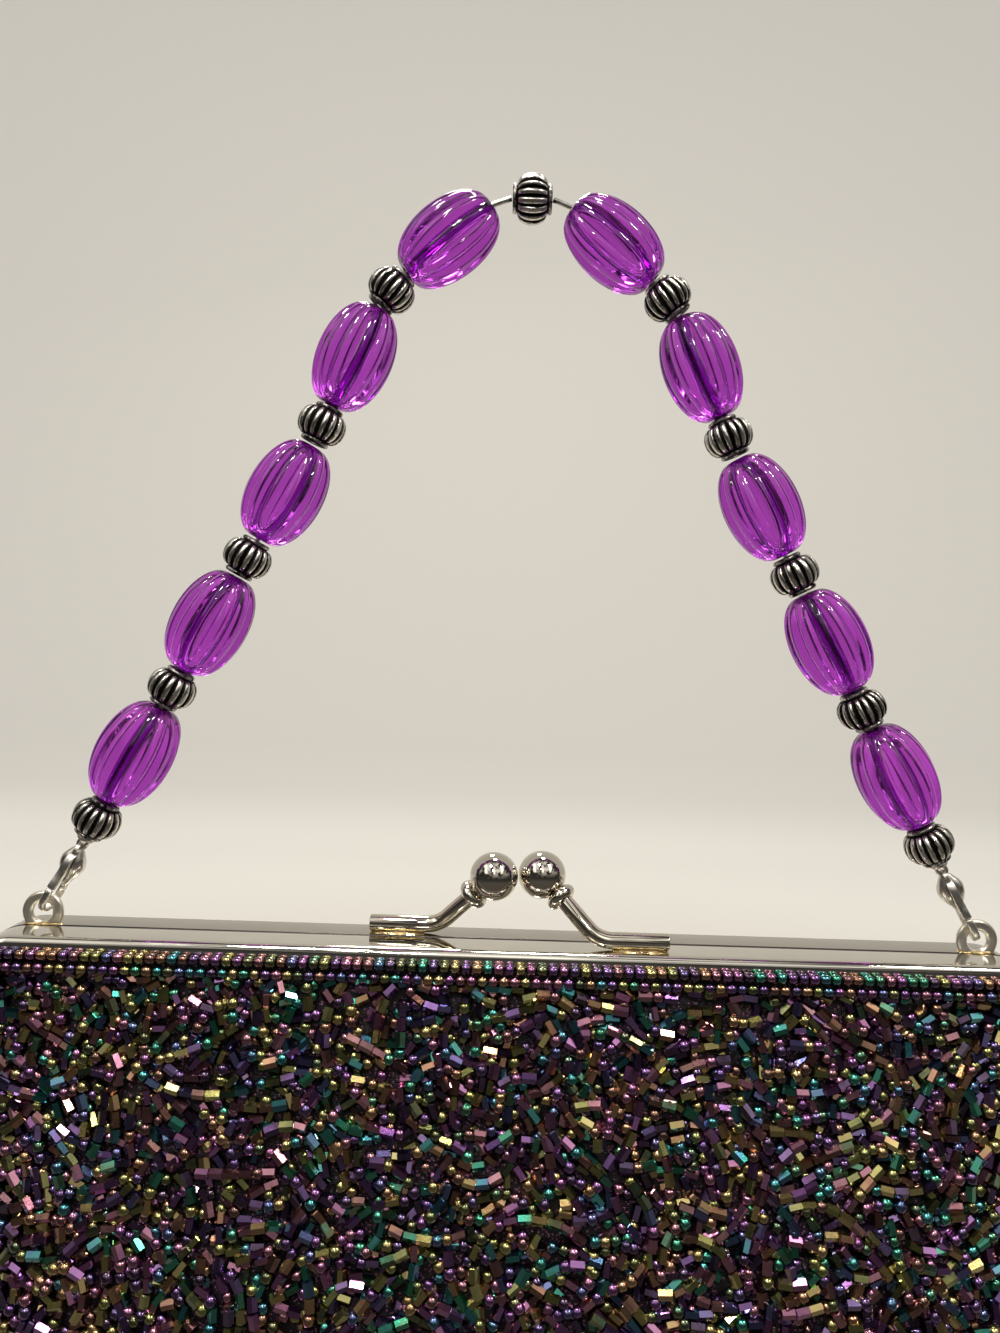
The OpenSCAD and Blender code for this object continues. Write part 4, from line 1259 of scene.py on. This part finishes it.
class PouchSurface:
    """The pouch's outside as a smooth surface over (u, z): u runs once round it, from the right side."""

    def __init__(self, inset, sag=0.0):
        self.inset, self.sag = inset, sag
        self.rows = pouch_profile()
        self.top = self.rows[-1, 0]
        # Samples crowd where the superellipse turns fastest, at each quarter
        share = np.linspace(-1, 1, 1001)[:-1]
        quarter = np.pi / 4 * share * np.abs(share)
        fine = np.concatenate([k * np.pi / 2 + quarter for k in range(5)])
        fine = fine[(fine >= 0) & (fine <= 2 * np.pi)]
        x, y = self.plan(fine, *self.row_at(self.top * 0.5)[::-1])
        run = np.concatenate([[0], np.cumsum(np.hypot(np.diff(x), np.diff(y)))])
        self.round = run[-1]
        self.turns, self.angles = run / run[-1], fine

    def row_at(self, z):
        depth = np.interp(z, self.rows[:, 0], self.rows[:, 1])
        width = np.interp(z, self.rows[:, 0], self.rows[:, 2])
        return depth, width

    def plan(self, a, width, depth):
        c, s = np.cos(a), np.sin(a)
        return width * np.sign(c) * np.abs(c) ** PLAN_POWER, depth * np.sign(s) * np.abs(s) ** PLAN_POWER

    def point(self, u, z):
        """Points at shares u of the way round and heights z."""
        u, z = np.asarray(u, float) % 1, np.asarray(z, float)
        angle = np.interp(u, self.turns, self.angles)
        depth, width = self.row_at(z)
        x, y = self.plan(angle, width - self.inset, depth - self.inset)
        swell = 0.5 + 0.5 * np.sin(x / SWELL_X + SWELL_SHIFT) * np.sin(z / SWELL_Z)
        sag = self.sag * swell * np.sin(np.pi * np.clip(z / self.top, 0, 1))
        side = np.sign(y) * np.clip(np.abs(y) / (depth + 1e-9), 0, 1)
        return np.stack([x, y + sag * side, z], -1)

    def frames(self, u, z):
        """Points, outward normals and the two directions along the surface."""
        du = unit(self.point(u + PROBE, z) - self.point(u - PROBE, z))
        dz = unit(self.point(u, np.minimum(z + PROBE, self.top)) - self.point(u, np.maximum(z - PROBE, 0)))
        return self.point(u, z), unit(np.cross(du, dz)), du, dz


def unit(vectors):
    return vectors / (np.linalg.norm(vectors, axis=-1, keepdims=True) + 1e-12)


# The front half of the way round runs from u = 0.5 to u = 1
SPLIT_Z_ABOVE_HINGE = -8 * MM


def flap_z():
    """Height above which the front belongs to the flap."""
    return hinge_z() + SPLIT_Z_ABOVE_HINGE


def blend_flap(obj):
    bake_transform(obj)


def shell_object(name, surface, u_range, z_values, columns, thickness, floor=False):
    """A patch of the pouch with a wall's thickness, and its flat base where floor is set."""
    closed = u_range[1] - u_range[0] > 0.999
    u = np.linspace(*u_range, columns + 1)
    if closed:
        u = u[:-1]
    n, m = len(u), len(z_values)
    bm = bmesh.new()
    made = [bm.verts.new(v) for z in z_values for v in surface.point(u, np.full(n, z))]
    for j in range(m - 1):
        for i in range(n if closed else n - 1):
            a, b = j * n + i, j * n + (i + 1) % n
            bm.faces.new([made[a], made[b], made[b + n], made[a + n]])
    if floor:
        bm.faces.new(list(reversed(made[:n])))
    obj = new_object(name, mesh_from(name, bm))
    wall = obj.modifiers.new("wall", "SOLIDIFY")
    wall.thickness = thickness
    wall.offset = -1
    apply_modifiers(obj)
    obj.data.shade_smooth()
    return obj


def apply_modifiers(obj):
    """Replaces an object's mesh by what its modifiers make of it, and removes them."""
    evaluated = obj.evaluated_get(bpy.context.evaluated_depsgraph_get())
    mesh = bpy.data.meshes.new_from_object(evaluated)
    obj.modifiers.clear()
    old = obj.data
    obj.data = mesh
    if old.users == 0:
        bpy.data.meshes.remove(old)


LINING_T = 0.4 * MM
# Height of the cloth's base over the floor, and how far cloth and lining reach up into the channels
CLOTH_BASE = 0.3 * MM
TUCKED = 1.6 * MM


class CLUTCH_OT_cloth(bpy.types.Operator):
    """Make the cloth and the lining, and finish the boards and paper cords inside"""
    bl_idname = "clutch.cloth"
    bl_label = "Cloth and lining"

    def execute(self, context):
        pouch = context.scene.clutch_pouch
        low, outside = flap_z(), PouchSurface(pouch.cloth_inset, pouch.sag)
        layers = (
            ("cloth", outside, pouch.cloth_t, CLOTH_BASE,
             "beaded_cloth", "beaded_body", "beaded_front_panel"),
            ("lining", PouchSurface(pouch.lining_inset), LINING_T, pouch.lining_inset,
             "lining", "lining_body", "lining_front_panel"),
        )
        for name, surface, thick, base, slot, body_node, flap_node in layers:
            lower = np.concatenate([[base], np.linspace(base + 2 * MM, low, 36)])
            upper = np.concatenate([np.linspace(low, surface.top, 24), [outside.top + TUCKED]])
            bag = shell_object(f"{name}_bag", surface, (0, 1), lower, 320, thick, floor=True)
            back = shell_object(f"{name}_back", surface, (0, 0.5), upper, 160, thick)
            flap = shell_object(f"{name}_flap", surface, (0.5, 1), upper, 160, thick)
            for obj in (bag, back, flap):
                obj.data.materials.append(MATERIALS[name])
            place_piece(bag, "back", slot, body_node)
            place_piece(back, "back", slot)
            blend_flap(flap)
            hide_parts(flap_node)
        for node in ("back_board", "front_board", "base_board"):
            dress(node, "board")
        for node in ("back_paper_cord", "front_paper_cord"):
            dress(node, "paper")
        return {"FINISHED"}


# Beads sewn on the cloth

# Half a bead's outline along its hole, as (place, radius) in shares of its size
SEED_PROFILE = ((-0.39, 0.18), (-0.37, 0.36), (-0.2, 0.485), (0.2, 0.485), (0.37, 0.36), (0.39, 0.18))
TUBE_PROFILE = ((-0.5, 0.36), (-0.45, 0.5), (0.45, 0.5), (0.5, 0.36))
# Profile and sides of each kind
BEAD_KINDS = {"seed": (SEED_PROFILE, 8), "row": (SEED_PROFILE, 12), "tube": (TUBE_PROFILE, 6)}


def bead_mesh(name, profile, sides):
    """A bead one unit across with its hole along X: round if it has many sides, a cut tube with six."""
    return solid_mesh(name, [[(h, r * math.cos(a), r * math.sin(a)) for a in turns(sides)]
                             for h, r in profile])


def geometry_tree(name, inputs):
    tree = bpy.data.node_groups.new(name, "GeometryNodeTree")
    tree.interface.new_socket("Geometry", in_out="INPUT", socket_type="NodeSocketGeometry")
    for label, kind in inputs.items():
        tree.interface.new_socket(label, in_out="INPUT", socket_type=kind)
    tree.interface.new_socket("Geometry", in_out="OUTPUT", socket_type="NodeSocketGeometry")
    nodes = Nodes(tree)
    return tree, nodes, nodes.add("NodeGroupInput").outputs, nodes.add("NodeGroupOutput")


def named(nodes, name, kind):
    return nodes.add("GeometryNodeInputNamedAttribute", {"data_type": kind}, Name=name).outputs["Attribute"]


def copy_beads(nodes, given, result, points, rotation, length, width):
    """Puts the bead on each point, turned and sized, as plain geometry with its material."""
    bead = nodes.add("GeometryNodeObjectInfo", Object=given["Bead"])
    scale = nodes.add("ShaderNodeCombineXYZ", X=length, Y=width, Z=width)
    put = nodes.add("GeometryNodeInstanceOnPoints", Points=points, Instance=bead.outputs["Geometry"],
                    Rotation=rotation, Scale=scale.outputs[0])
    real = nodes.add("GeometryNodeRealizeInstances", Geometry=put.outputs[0])
    final = nodes.add("GeometryNodeSetMaterial", Geometry=real.outputs[0], Material=given["Material"])
    nodes.put(result, "Geometry", final.outputs[0])


def sewn_tree():
    """Puts a bead on each point, its hole along the point's thread and its size from the point."""
    tree, nodes, given, result = geometry_tree("sewn_beads", {
        "Bead": "NodeSocketObject", "Width": "NodeSocketFloat", "Length": "NodeSocketFloat",
        "Material": "NodeSocketMaterial"})
    along = nodes.add("FunctionNodeAlignRotationToVector", {"axis": "X"},
                      Vector=named(nodes, "thread", "FLOAT_VECTOR"))
    turned = nodes.add("FunctionNodeAlignRotationToVector", {"axis": "Z", "pivot_axis": "X"},
                       Rotation=along.outputs[0], Vector=named(nodes, "outward", "FLOAT_VECTOR"))
    spin = nodes.add("FunctionNodeAxisAngleToRotation", Angle=named(nodes, "spin", "FLOAT"), Axis=(1, 0, 0))
    rolled = nodes.add("FunctionNodeRotateRotation", {"rotation_space": "LOCAL"},
                       Rotation=turned.outputs[0], Rotate_By=spin.outputs[0])
    size = named(nodes, "size", "FLOAT")
    copy_beads(nodes, given, result, given["Geometry"], rolled.outputs[0],
               nodes.math("MULTIPLY", size, given["Length"]), nodes.math("MULTIPLY", size, given["Width"]))
    return tree


def random_share(nodes, seed, low, high):
    """A random number from low to high for each bead."""
    node = nodes.add("FunctionNodeRandomValue", {"data_type": "FLOAT"}, Seed=seed)
    for i, value in ((2, low), (3, high)):
        nodes.put(node, i, value)
    return node.outputs[1]


# Length of a row's bead over its pitch. The bead's mesh is 0.78 of a unit long
ROW_FILL = 1.12


def row_tree():
    """Strings beads along a curve at a pitch, each with its own shade and a slightly different length."""
    tree, nodes, given, result = geometry_tree("bead_row", {
        "Bead": "NodeSocketObject", "Pitch": "NodeSocketFloat", "Width": "NodeSocketFloat",
        "Seed": "NodeSocketInt", "Material": "NodeSocketMaterial"})
    points = nodes.add("GeometryNodeCurveToPoints", {"mode": "LENGTH"}, Curve=given["Geometry"],
                       Length=given["Pitch"]).outputs
    marked = nodes.add("GeometryNodeStoreNamedAttribute", {"data_type": "FLOAT", "domain": "POINT"},
                       Geometry=points["Points"], Name="tint",
                       Value=random_share(nodes, given["Seed"], 0.0, 1.0))
    long = random_share(nodes, nodes.math("ADD", given["Seed"], 11.0), 0.9, 1.12)
    thick = random_share(nodes, nodes.math("ADD", given["Seed"], 23.0), 0.86, 1.04)
    heading = nodes.add("FunctionNodeAlignRotationToVector", {"axis": "X"}, Vector=points["Tangent"])
    copy_beads(nodes, given, result, marked.outputs[0], heading.outputs[0],
               nodes.math("MULTIPLY", nodes.math("MULTIPLY", long, given["Pitch"]), ROW_FILL),
               nodes.math("MULTIPLY", thick, given["Width"]))
    return tree


def run_tree(obj, tree, **inputs):
    """Runs a tree on an object and returns a plain mesh object under the same name."""
    modifier = obj.modifiers.new("beads", "NODES")
    modifier.node_group = tree
    for item in tree.interface.items_tree:
        label = item.name.lower()
        if item.in_out == "INPUT" and label in inputs:
            modifier[item.identifier] = inputs[label]
    obj.update_tag()
    depsgraph = bpy.context.evaluated_depsgraph_get()
    mesh = bpy.data.meshes.new_from_object(obj.evaluated_get(depsgraph), preserve_all_data_layers=True,
                                           depsgraph=depsgraph)
    name = obj.name
    bpy.data.objects.remove(obj)
    mesh.name = name
    return new_object(name, mesh)


# A sewn bead: place on the unrolled cloth, direction, whether it's a tube, size, shade, roll, the layer's
# rise, half length and the room it takes to each side
Bead = namedtuple("Bead", "middle step tube size tint spin rise half room")


class StrandField:
    """Short strands of beads laid over the pouch in random directions, one layer on another."""
    # Each pass: rise above the cloth in bead widths, grid of starts, fewest beads, share of tubes
    PASSES = (
        (0.0, 2.6 * MM, 3, 0.65),
        (0.0, 1.5 * MM, 1, 0.4),
        (0.6, 2.4 * MM, 3, 0.7),
        (0.6, 1.9 * MM, 2, 0.7),
    )
    # Size of the squares that beads near each other are looked up by
    CELL = 2.8 * MM
    CURL = 0.22
    MOST_BEADS = 7
    SIZE_RANGE = (0.9, 1.06)
    # Half a seed bead's length as a share of its width
    SEED_HALF = 0.4
    THREAD_GAP = 0.05 * MM
    # Room to each side as a share of the width, and how close two beads' rooms may come
    ROOM_SHARE = 0.46
    CLOSENESS = 0.8
    # How far a tube's outer spots lie inside its ends, as a share of its room
    SPOT_INSET = 0.8

    def __init__(self, surface, sizes, z_low, z_high):
        self.surface, self.sizes = surface, sizes
        self.z_low, self.z_high = z_low, z_high
        self.random = np.random.default_rng(sizes.seed)
        self.beads, self.cells = [], {}

    def lay(self):
        last = 0.0
        for rise, grid, fewest, tubes in self.PASSES:
            if rise != last:
                self.cells, last = {}, rise
            self.lay_pass(rise, grid, fewest, tubes)
        return self.beads

    def lay_pass(self, rise, grid, fewest, tubes):
        pick = self.random
        columns = int(self.surface.round / grid)
        rows = int((self.z_high - self.z_low) / grid)
        spots = np.stack(np.meshgrid(np.arange(columns), np.arange(rows)), -1).reshape(-1, 2).astype(float)
        spots += pick.random(spots.shape)
        spots = spots[pick.permutation(len(spots))]
        starts = np.stack([spots[:, 0] * self.surface.round / columns,
                           self.z_low + spots[:, 1] * (self.z_high - self.z_low) / rows], 1)
        heading = pick.uniform(0, 2 * math.pi, len(starts))
        curl = pick.normal(0, self.CURL, len(starts))
        counts = pick.integers(3, self.MOST_BEADS + 1, len(starts))
        for i, start in enumerate(starts):
            self.lay_strand(start, heading[i], curl[i], int(counts[i]), rise, fewest, tubes)

    def lay_strand(self, start, heading, curl, count, rise, fewest, tubes):
        s, pick = self.sizes, self.random
        kinds = pick.random(count) < tubes
        sizes = pick.uniform(*self.SIZE_RANGE, count)
        tints = pick.random(count)
        spins = pick.uniform(0, math.pi, count)
        here, found = start, []
        for tube, size, tint, spin in zip(kinds, sizes, tints, spins):
            half = (s.tube_len / 2 if tube else s.seed_d * self.SEED_HALF) * size
            step = np.array([math.cos(heading), math.sin(heading)])
            middle = here + step * half
            room = self.ROOM_SHARE * (s.tube_d if tube else s.seed_d) * size
            bead = Bead(middle, step, tube, size, tint, spin, rise, half, room)
            if not self.z_low < middle[1] < self.z_high or self.taken(bead):
                break
            found.append(bead)
            here = middle + step * (half + self.THREAD_GAP)
            heading += curl
        if len(found) >= fewest:
            for bead in found:
                self.claim(bead)
            self.beads += found

    def spots(self, bead):
        """A tube is three spots along its length, and a seed is one."""
        if bead.tube:
            reach = bead.half - bead.room * self.SPOT_INSET
            return [bead.middle - bead.step * reach, bead.middle, bead.middle + bead.step * reach]
        return [bead.middle]

    def cell(self, spot, i=0, j=0):
        """The square that a spot is in, or a neighbour of it. The squares close up round the pouch."""
        around = int(round(self.surface.round / self.CELL))
        return (int(spot[0] // self.CELL) + i) % around, int(spot[1] // self.CELL) + j

    def taken(self, bead):
        for spot in self.spots(bead):
            for i, j in NEIGHBOURS:
                for other, other_room in self.cells.get(self.cell(spot, i, j), ()):
                    gap = spot - other
                    gap[0] -= round(gap[0] / self.surface.round) * self.surface.round
                    if gap @ gap < (self.CLOSENESS * (bead.room + other_room)) ** 2:
                        return True
        return False

    def claim(self, bead):
        for spot in self.spots(bead):
            self.cells.setdefault(self.cell(spot), []).append((spot, bead.room))


NEIGHBOURS = [(i, j) for i in (-1, 0, 1) for j in (-1, 0, 1)]


def points_object(name, points, vectors, numbers):
    """Bare points with their attributes, given by name."""
    mesh = plain_mesh(name, points)
    for label, values in vectors.items():
        attribute = mesh.attributes.new(label, "FLOAT_VECTOR", "POINT")
        attribute.data.foreach_set("vector", np.asarray(values, np.float32).ravel())
    for label, values in numbers.items():
        add_float(mesh, label, values)
    return new_object(name, mesh)


def bead_templates():
    """The unit beads that the trees copy, kept out of the render."""
    made = {}
    for kind, (profile, sides) in BEAD_KINDS.items():
        mesh = bead_mesh("unit_" + kind, profile, sides)
        if kind != "tube":
            mesh.shade_smooth()
        made[kind] = new_object(mesh.name, mesh)
        made[kind].hide_render = True
    return made


def row_curve(name, points):
    curve = bpy.data.curves.new(name, "CURVE")
    curve.dimensions = "3D"
    spline = curve.splines.new("POLY")
    spline.points.add(len(points) - 1)
    for target, p in zip(spline.points, points):
        target.co = (*p, 1)
    obj = bpy.data.objects.new(name, curve)
    bpy.context.scene.collection.objects.link(obj)
    return obj


# How far each row hangs below the top of the frame, and how far it stands out from its side
ROW_DROPS = (3.0 * MM, 5.45 * MM)
ROW_OUT = (1.15 * MM, 1.05 * MM)
ROW_LEAST_R = 2 * MM
# Body, side and the height above the hinge where its rows end. The front ones end higher, clear of the
# cloth they turn towards when the frame opens
ROW_SIDES = (("back", 1, 4 * MM), ("front", -1, 15 * MM))


class CLUTCH_OT_rows(bpy.types.Operator):
    """String the two rows of round beads under the lips of the frame"""
    bl_idname = "clutch.rows"
    bl_label = "Bead rows"

    def execute(self, context):
        pouch, metal = context.scene.clutch_pouch, context.scene.clutch_frame
        templates, tree = bead_templates(), row_tree()
        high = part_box("back_frame")[1]
        cx, cz = high.x - metal.corner_r, high.z - metal.corner_r
        for body, sign, above_hinge in ROW_SIDES:
            arm_low = hinge_z() + above_hinge
            strings = []
            for row, (drop, out) in enumerate(zip(ROW_DROPS, ROW_OUT)):
                y = sign * (high.y + out)
                r = max(metal.corner_r - drop, ROW_LEAST_R)
                arc = sweep(math.pi / 2, 12)
                path = [(-cx - r, y, arm_low)]
                path += [(-cx - r * math.cos(a), y, cz + r * math.sin(a)) for a in arc]
                path += [(cx + r * math.sin(a), y, cz + r * math.cos(a)) for a in arc]
                path += [(cx + r, y, arm_low)]
                seed = pouch.seed + 2 * row + (body == "front")
                strings.append(run_tree(row_curve(f"row_{body}_{row}", path), tree, bead=templates["row"],
                                        pitch=pouch.row_pitch, width=pouch.row_d, seed=seed,
                                        material=MATERIALS["seed"]))
            rows = joined(f"bead_rows_{body}", [string.data for string in strings], MATERIALS["seed"])
            place_piece(rows, body, "beaded_cloth")
        for obj in templates.values():
            bpy.data.objects.remove(obj)
        return {"FINISHED"}


# How far the sewn beads stay from the pouch's base and its lips, and how much their threads tilt
STRANDS_ABOVE_BASE = 3 * MM
STRANDS_BELOW_LIPS = 3.6 * MM
THREAD_TILT = 0.14
LAYER_RISE = 1.3 * MM


class CLUTCH_OT_strands(bpy.types.Operator):
    """Sew the short strands of beads all over the cloth"""
    bl_idname = "clutch.strands"
    bl_label = "Bead strands"

    def execute(self, context):
        pouch = context.scene.clutch_pouch
        surface = PouchSurface(pouch.cloth_inset, pouch.sag)
        templates, tree = bead_templates(), sewn_tree()
        beads = StrandField(surface, pouch, STRANDS_ABOVE_BASE, surface.top - STRANDS_BELOW_LIPS).lay()
        middle, step, tube, size, tint, spin, rise = (np.array([bead[k] for bead in beads]) for k in range(7))
        lift = 0.5 * np.where(tube, pouch.tube_d, pouch.seed_d) * size + rise * LAYER_RISE
        u, z = middle[:, 0] / surface.round, middle[:, 1]
        point, normal, du, dz = surface.frames(u, z)
        place = point + normal * lift[:, None]
        tilt = np.random.default_rng(pouch.seed + 1).normal(0, THREAD_TILT, (len(beads), 1))
        thread = du * step[:, :1] + dz * step[:, 1:] + normal * tilt
        front, high = (u % 1) > 0.5, z > flap_z()
        regions = {"flap": front & high, "front_low": front & ~high, "back_high": ~front & high,
                   "back_low": ~front & ~high}
        kinds = {"seed": (~tube, pouch.seed_d, pouch.seed_d), "tube": (tube, pouch.tube_d, pouch.tube_len)}
        for region, inside in regions.items():
            for kind, (chosen, width, length) in kinds.items():
                pick = inside & chosen
                cloud = points_object(f"{kind}_beads_{region}", place[pick],
                                      {"thread": thread[pick], "outward": normal[pick]},
                                      {"tint": tint[pick], "size": size[pick], "spin": spin[pick]})
                obj = run_tree(cloud, tree, bead=templates[kind], width=width, length=length,
                               material=MATERIALS[kind])
                if region == "flap":
                    blend_flap(obj)
                else:
                    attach(obj, "back")
        for obj in templates.values():
            bpy.data.objects.remove(obj)
        return {"FINISHED"}


# Stage

# The cove: radius of its bend, where its floor starts and ends, its height and half its width
COVE_BEND = 0.1
COVE_FRONT = -7.0
COVE_BACK = 0.92
COVE_TOP = 5.0
COVE_HALF = 7.0
# Diameter, watts, place and colour of each lamp. All of them look at the target
LAMPS = {
    "key_lamp": (0.14, 4.6, (-0.22, -0.42, 0.95), (1.0, 0.96, 0.9)),
    "front_lamp": (0.06, 1.1, (-0.1, -0.7, 0.72), (1.0, 0.97, 0.92)),
    "side_lamp": (0.12, 2.8, (0.45, -0.35, 0.85), (1.0, 0.95, 0.88)),
    "high_lamp": (0.15, 3.6, (0.05, 0.12, 1.05), (1.0, 0.97, 0.93)),
    "back_lamp": (0.16, 3.0, (-0.1, 0.6, 0.9), (1.0, 0.97, 0.93)),
}
TARGET = Vector((0, 0, 0.16))
SENSOR_MM = 36


def cove_mesh(name):
    """A floor that turns up into a backdrop behind the object."""
    profile = [(COVE_FRONT, 0.0)] + [
        (COVE_BACK - COVE_BEND + COVE_BEND * math.sin(a), COVE_BEND - COVE_BEND * math.cos(a))
        for a in sweep(math.pi / 2, 24)] + [(COVE_BACK, COVE_TOP)]
    n = len(profile)
    mesh = plain_mesh(name, [(x, y, z) for x in (-COVE_HALF, COVE_HALF) for y, z in profile],
                      [(i, i + 1, n + i + 1, n + i) for i in range(n - 1)])
    face_out(mesh)
    mesh.shade_smooth()
    return mesh


def add_lamp(name, size, power, place, shade):
    data = bpy.data.lights.new(name, "AREA")
    data.shape, data.size, data.energy, data.color = "DISK", size, power, shade
    obj = bpy.data.objects.new(name, data)
    bpy.context.scene.collection.objects.link(obj)
    obj.location = place
    obj.rotation_euler = (TARGET - Vector(place)).to_track_quat("-Z", "Y").to_euler()


class CLUTCH_OT_stage(bpy.types.Operator):
    """Make the floor, the lamps, the world and the camera"""
    bl_idname = "clutch.stage"
    bl_label = "Stage"

    def execute(self, context):
        scene = context.scene
        stage = scene.clutch_stage
        floor = new_object("floor", cove_mesh("floor"), backdrop_material(stage))
        scene.world = room_world()
        for name, settings in LAMPS.items():
            add_lamp(name, *settings)
        data = bpy.data.cameras.new("camera")
        camera = bpy.data.objects.new("camera", data)
        scene.collection.objects.link(camera)
        data.lens, data.sensor_width = stage.lens, SENSOR_MM
        data.clip_start = 0.01
        camera.location = (stage.camera_x, -stage.distance, stage.camera_z)
        camera.rotation_euler = (math.pi / 2, stage.roll, 0)
        scene.camera = camera
        scene.view_settings.view_transform = "Standard"
        return {"FINISHED"}


OPERATORS = (CLUTCH_OT_stage, CLUTCH_OT_ovals, CLUTCH_OT_spacers, CLUTCH_OT_clasps, CLUTCH_OT_frame,
             CLUTCH_OT_lock, CLUTCH_OT_cloth, CLUTCH_OT_rows, CLUTCH_OT_strands)


class CLUTCH_PT_panel(bpy.types.Panel):
    """Lists the clutch's pieces"""
    bl_idname = "CLUTCH_PT_panel"
    bl_label = "Evening clutch"
    bl_space_type = "VIEW_3D"
    bl_region_type = "UI"
    bl_category = "Clutch"

    def draw(self, context):
        for operator in OPERATORS:
            self.layout.operator(operator.bl_idname)
        for name, group in GROUPS.items():
            box = self.layout.box()
            for key in group.__annotations__:
                box.prop(getattr(context.scene, name), key)


def register():
    for group in GROUPS.values():
        bpy.utils.register_class(group)
    for name, group in GROUPS.items():
        setattr(bpy.types.Scene, name, PointerProperty(type=group))
    for operator in OPERATORS:
        bpy.utils.register_class(operator)
    bpy.utils.register_class(CLUTCH_PT_panel)


def unregister():
    bpy.utils.unregister_class(CLUTCH_PT_panel)
    for operator in reversed(OPERATORS):
        bpy.utils.unregister_class(operator)
    for name in GROUPS:
        delattr(bpy.types.Scene, name)
    for group in reversed(GROUPS.values()):
        bpy.utils.unregister_class(group)


def main():
    register()
    make_materials(bpy.context.scene)
    for operator in OPERATORS:
        group, name = operator.bl_idname.split(".")
        getattr(getattr(bpy.ops, group), name)()


if __name__ == "__main__":
    main()
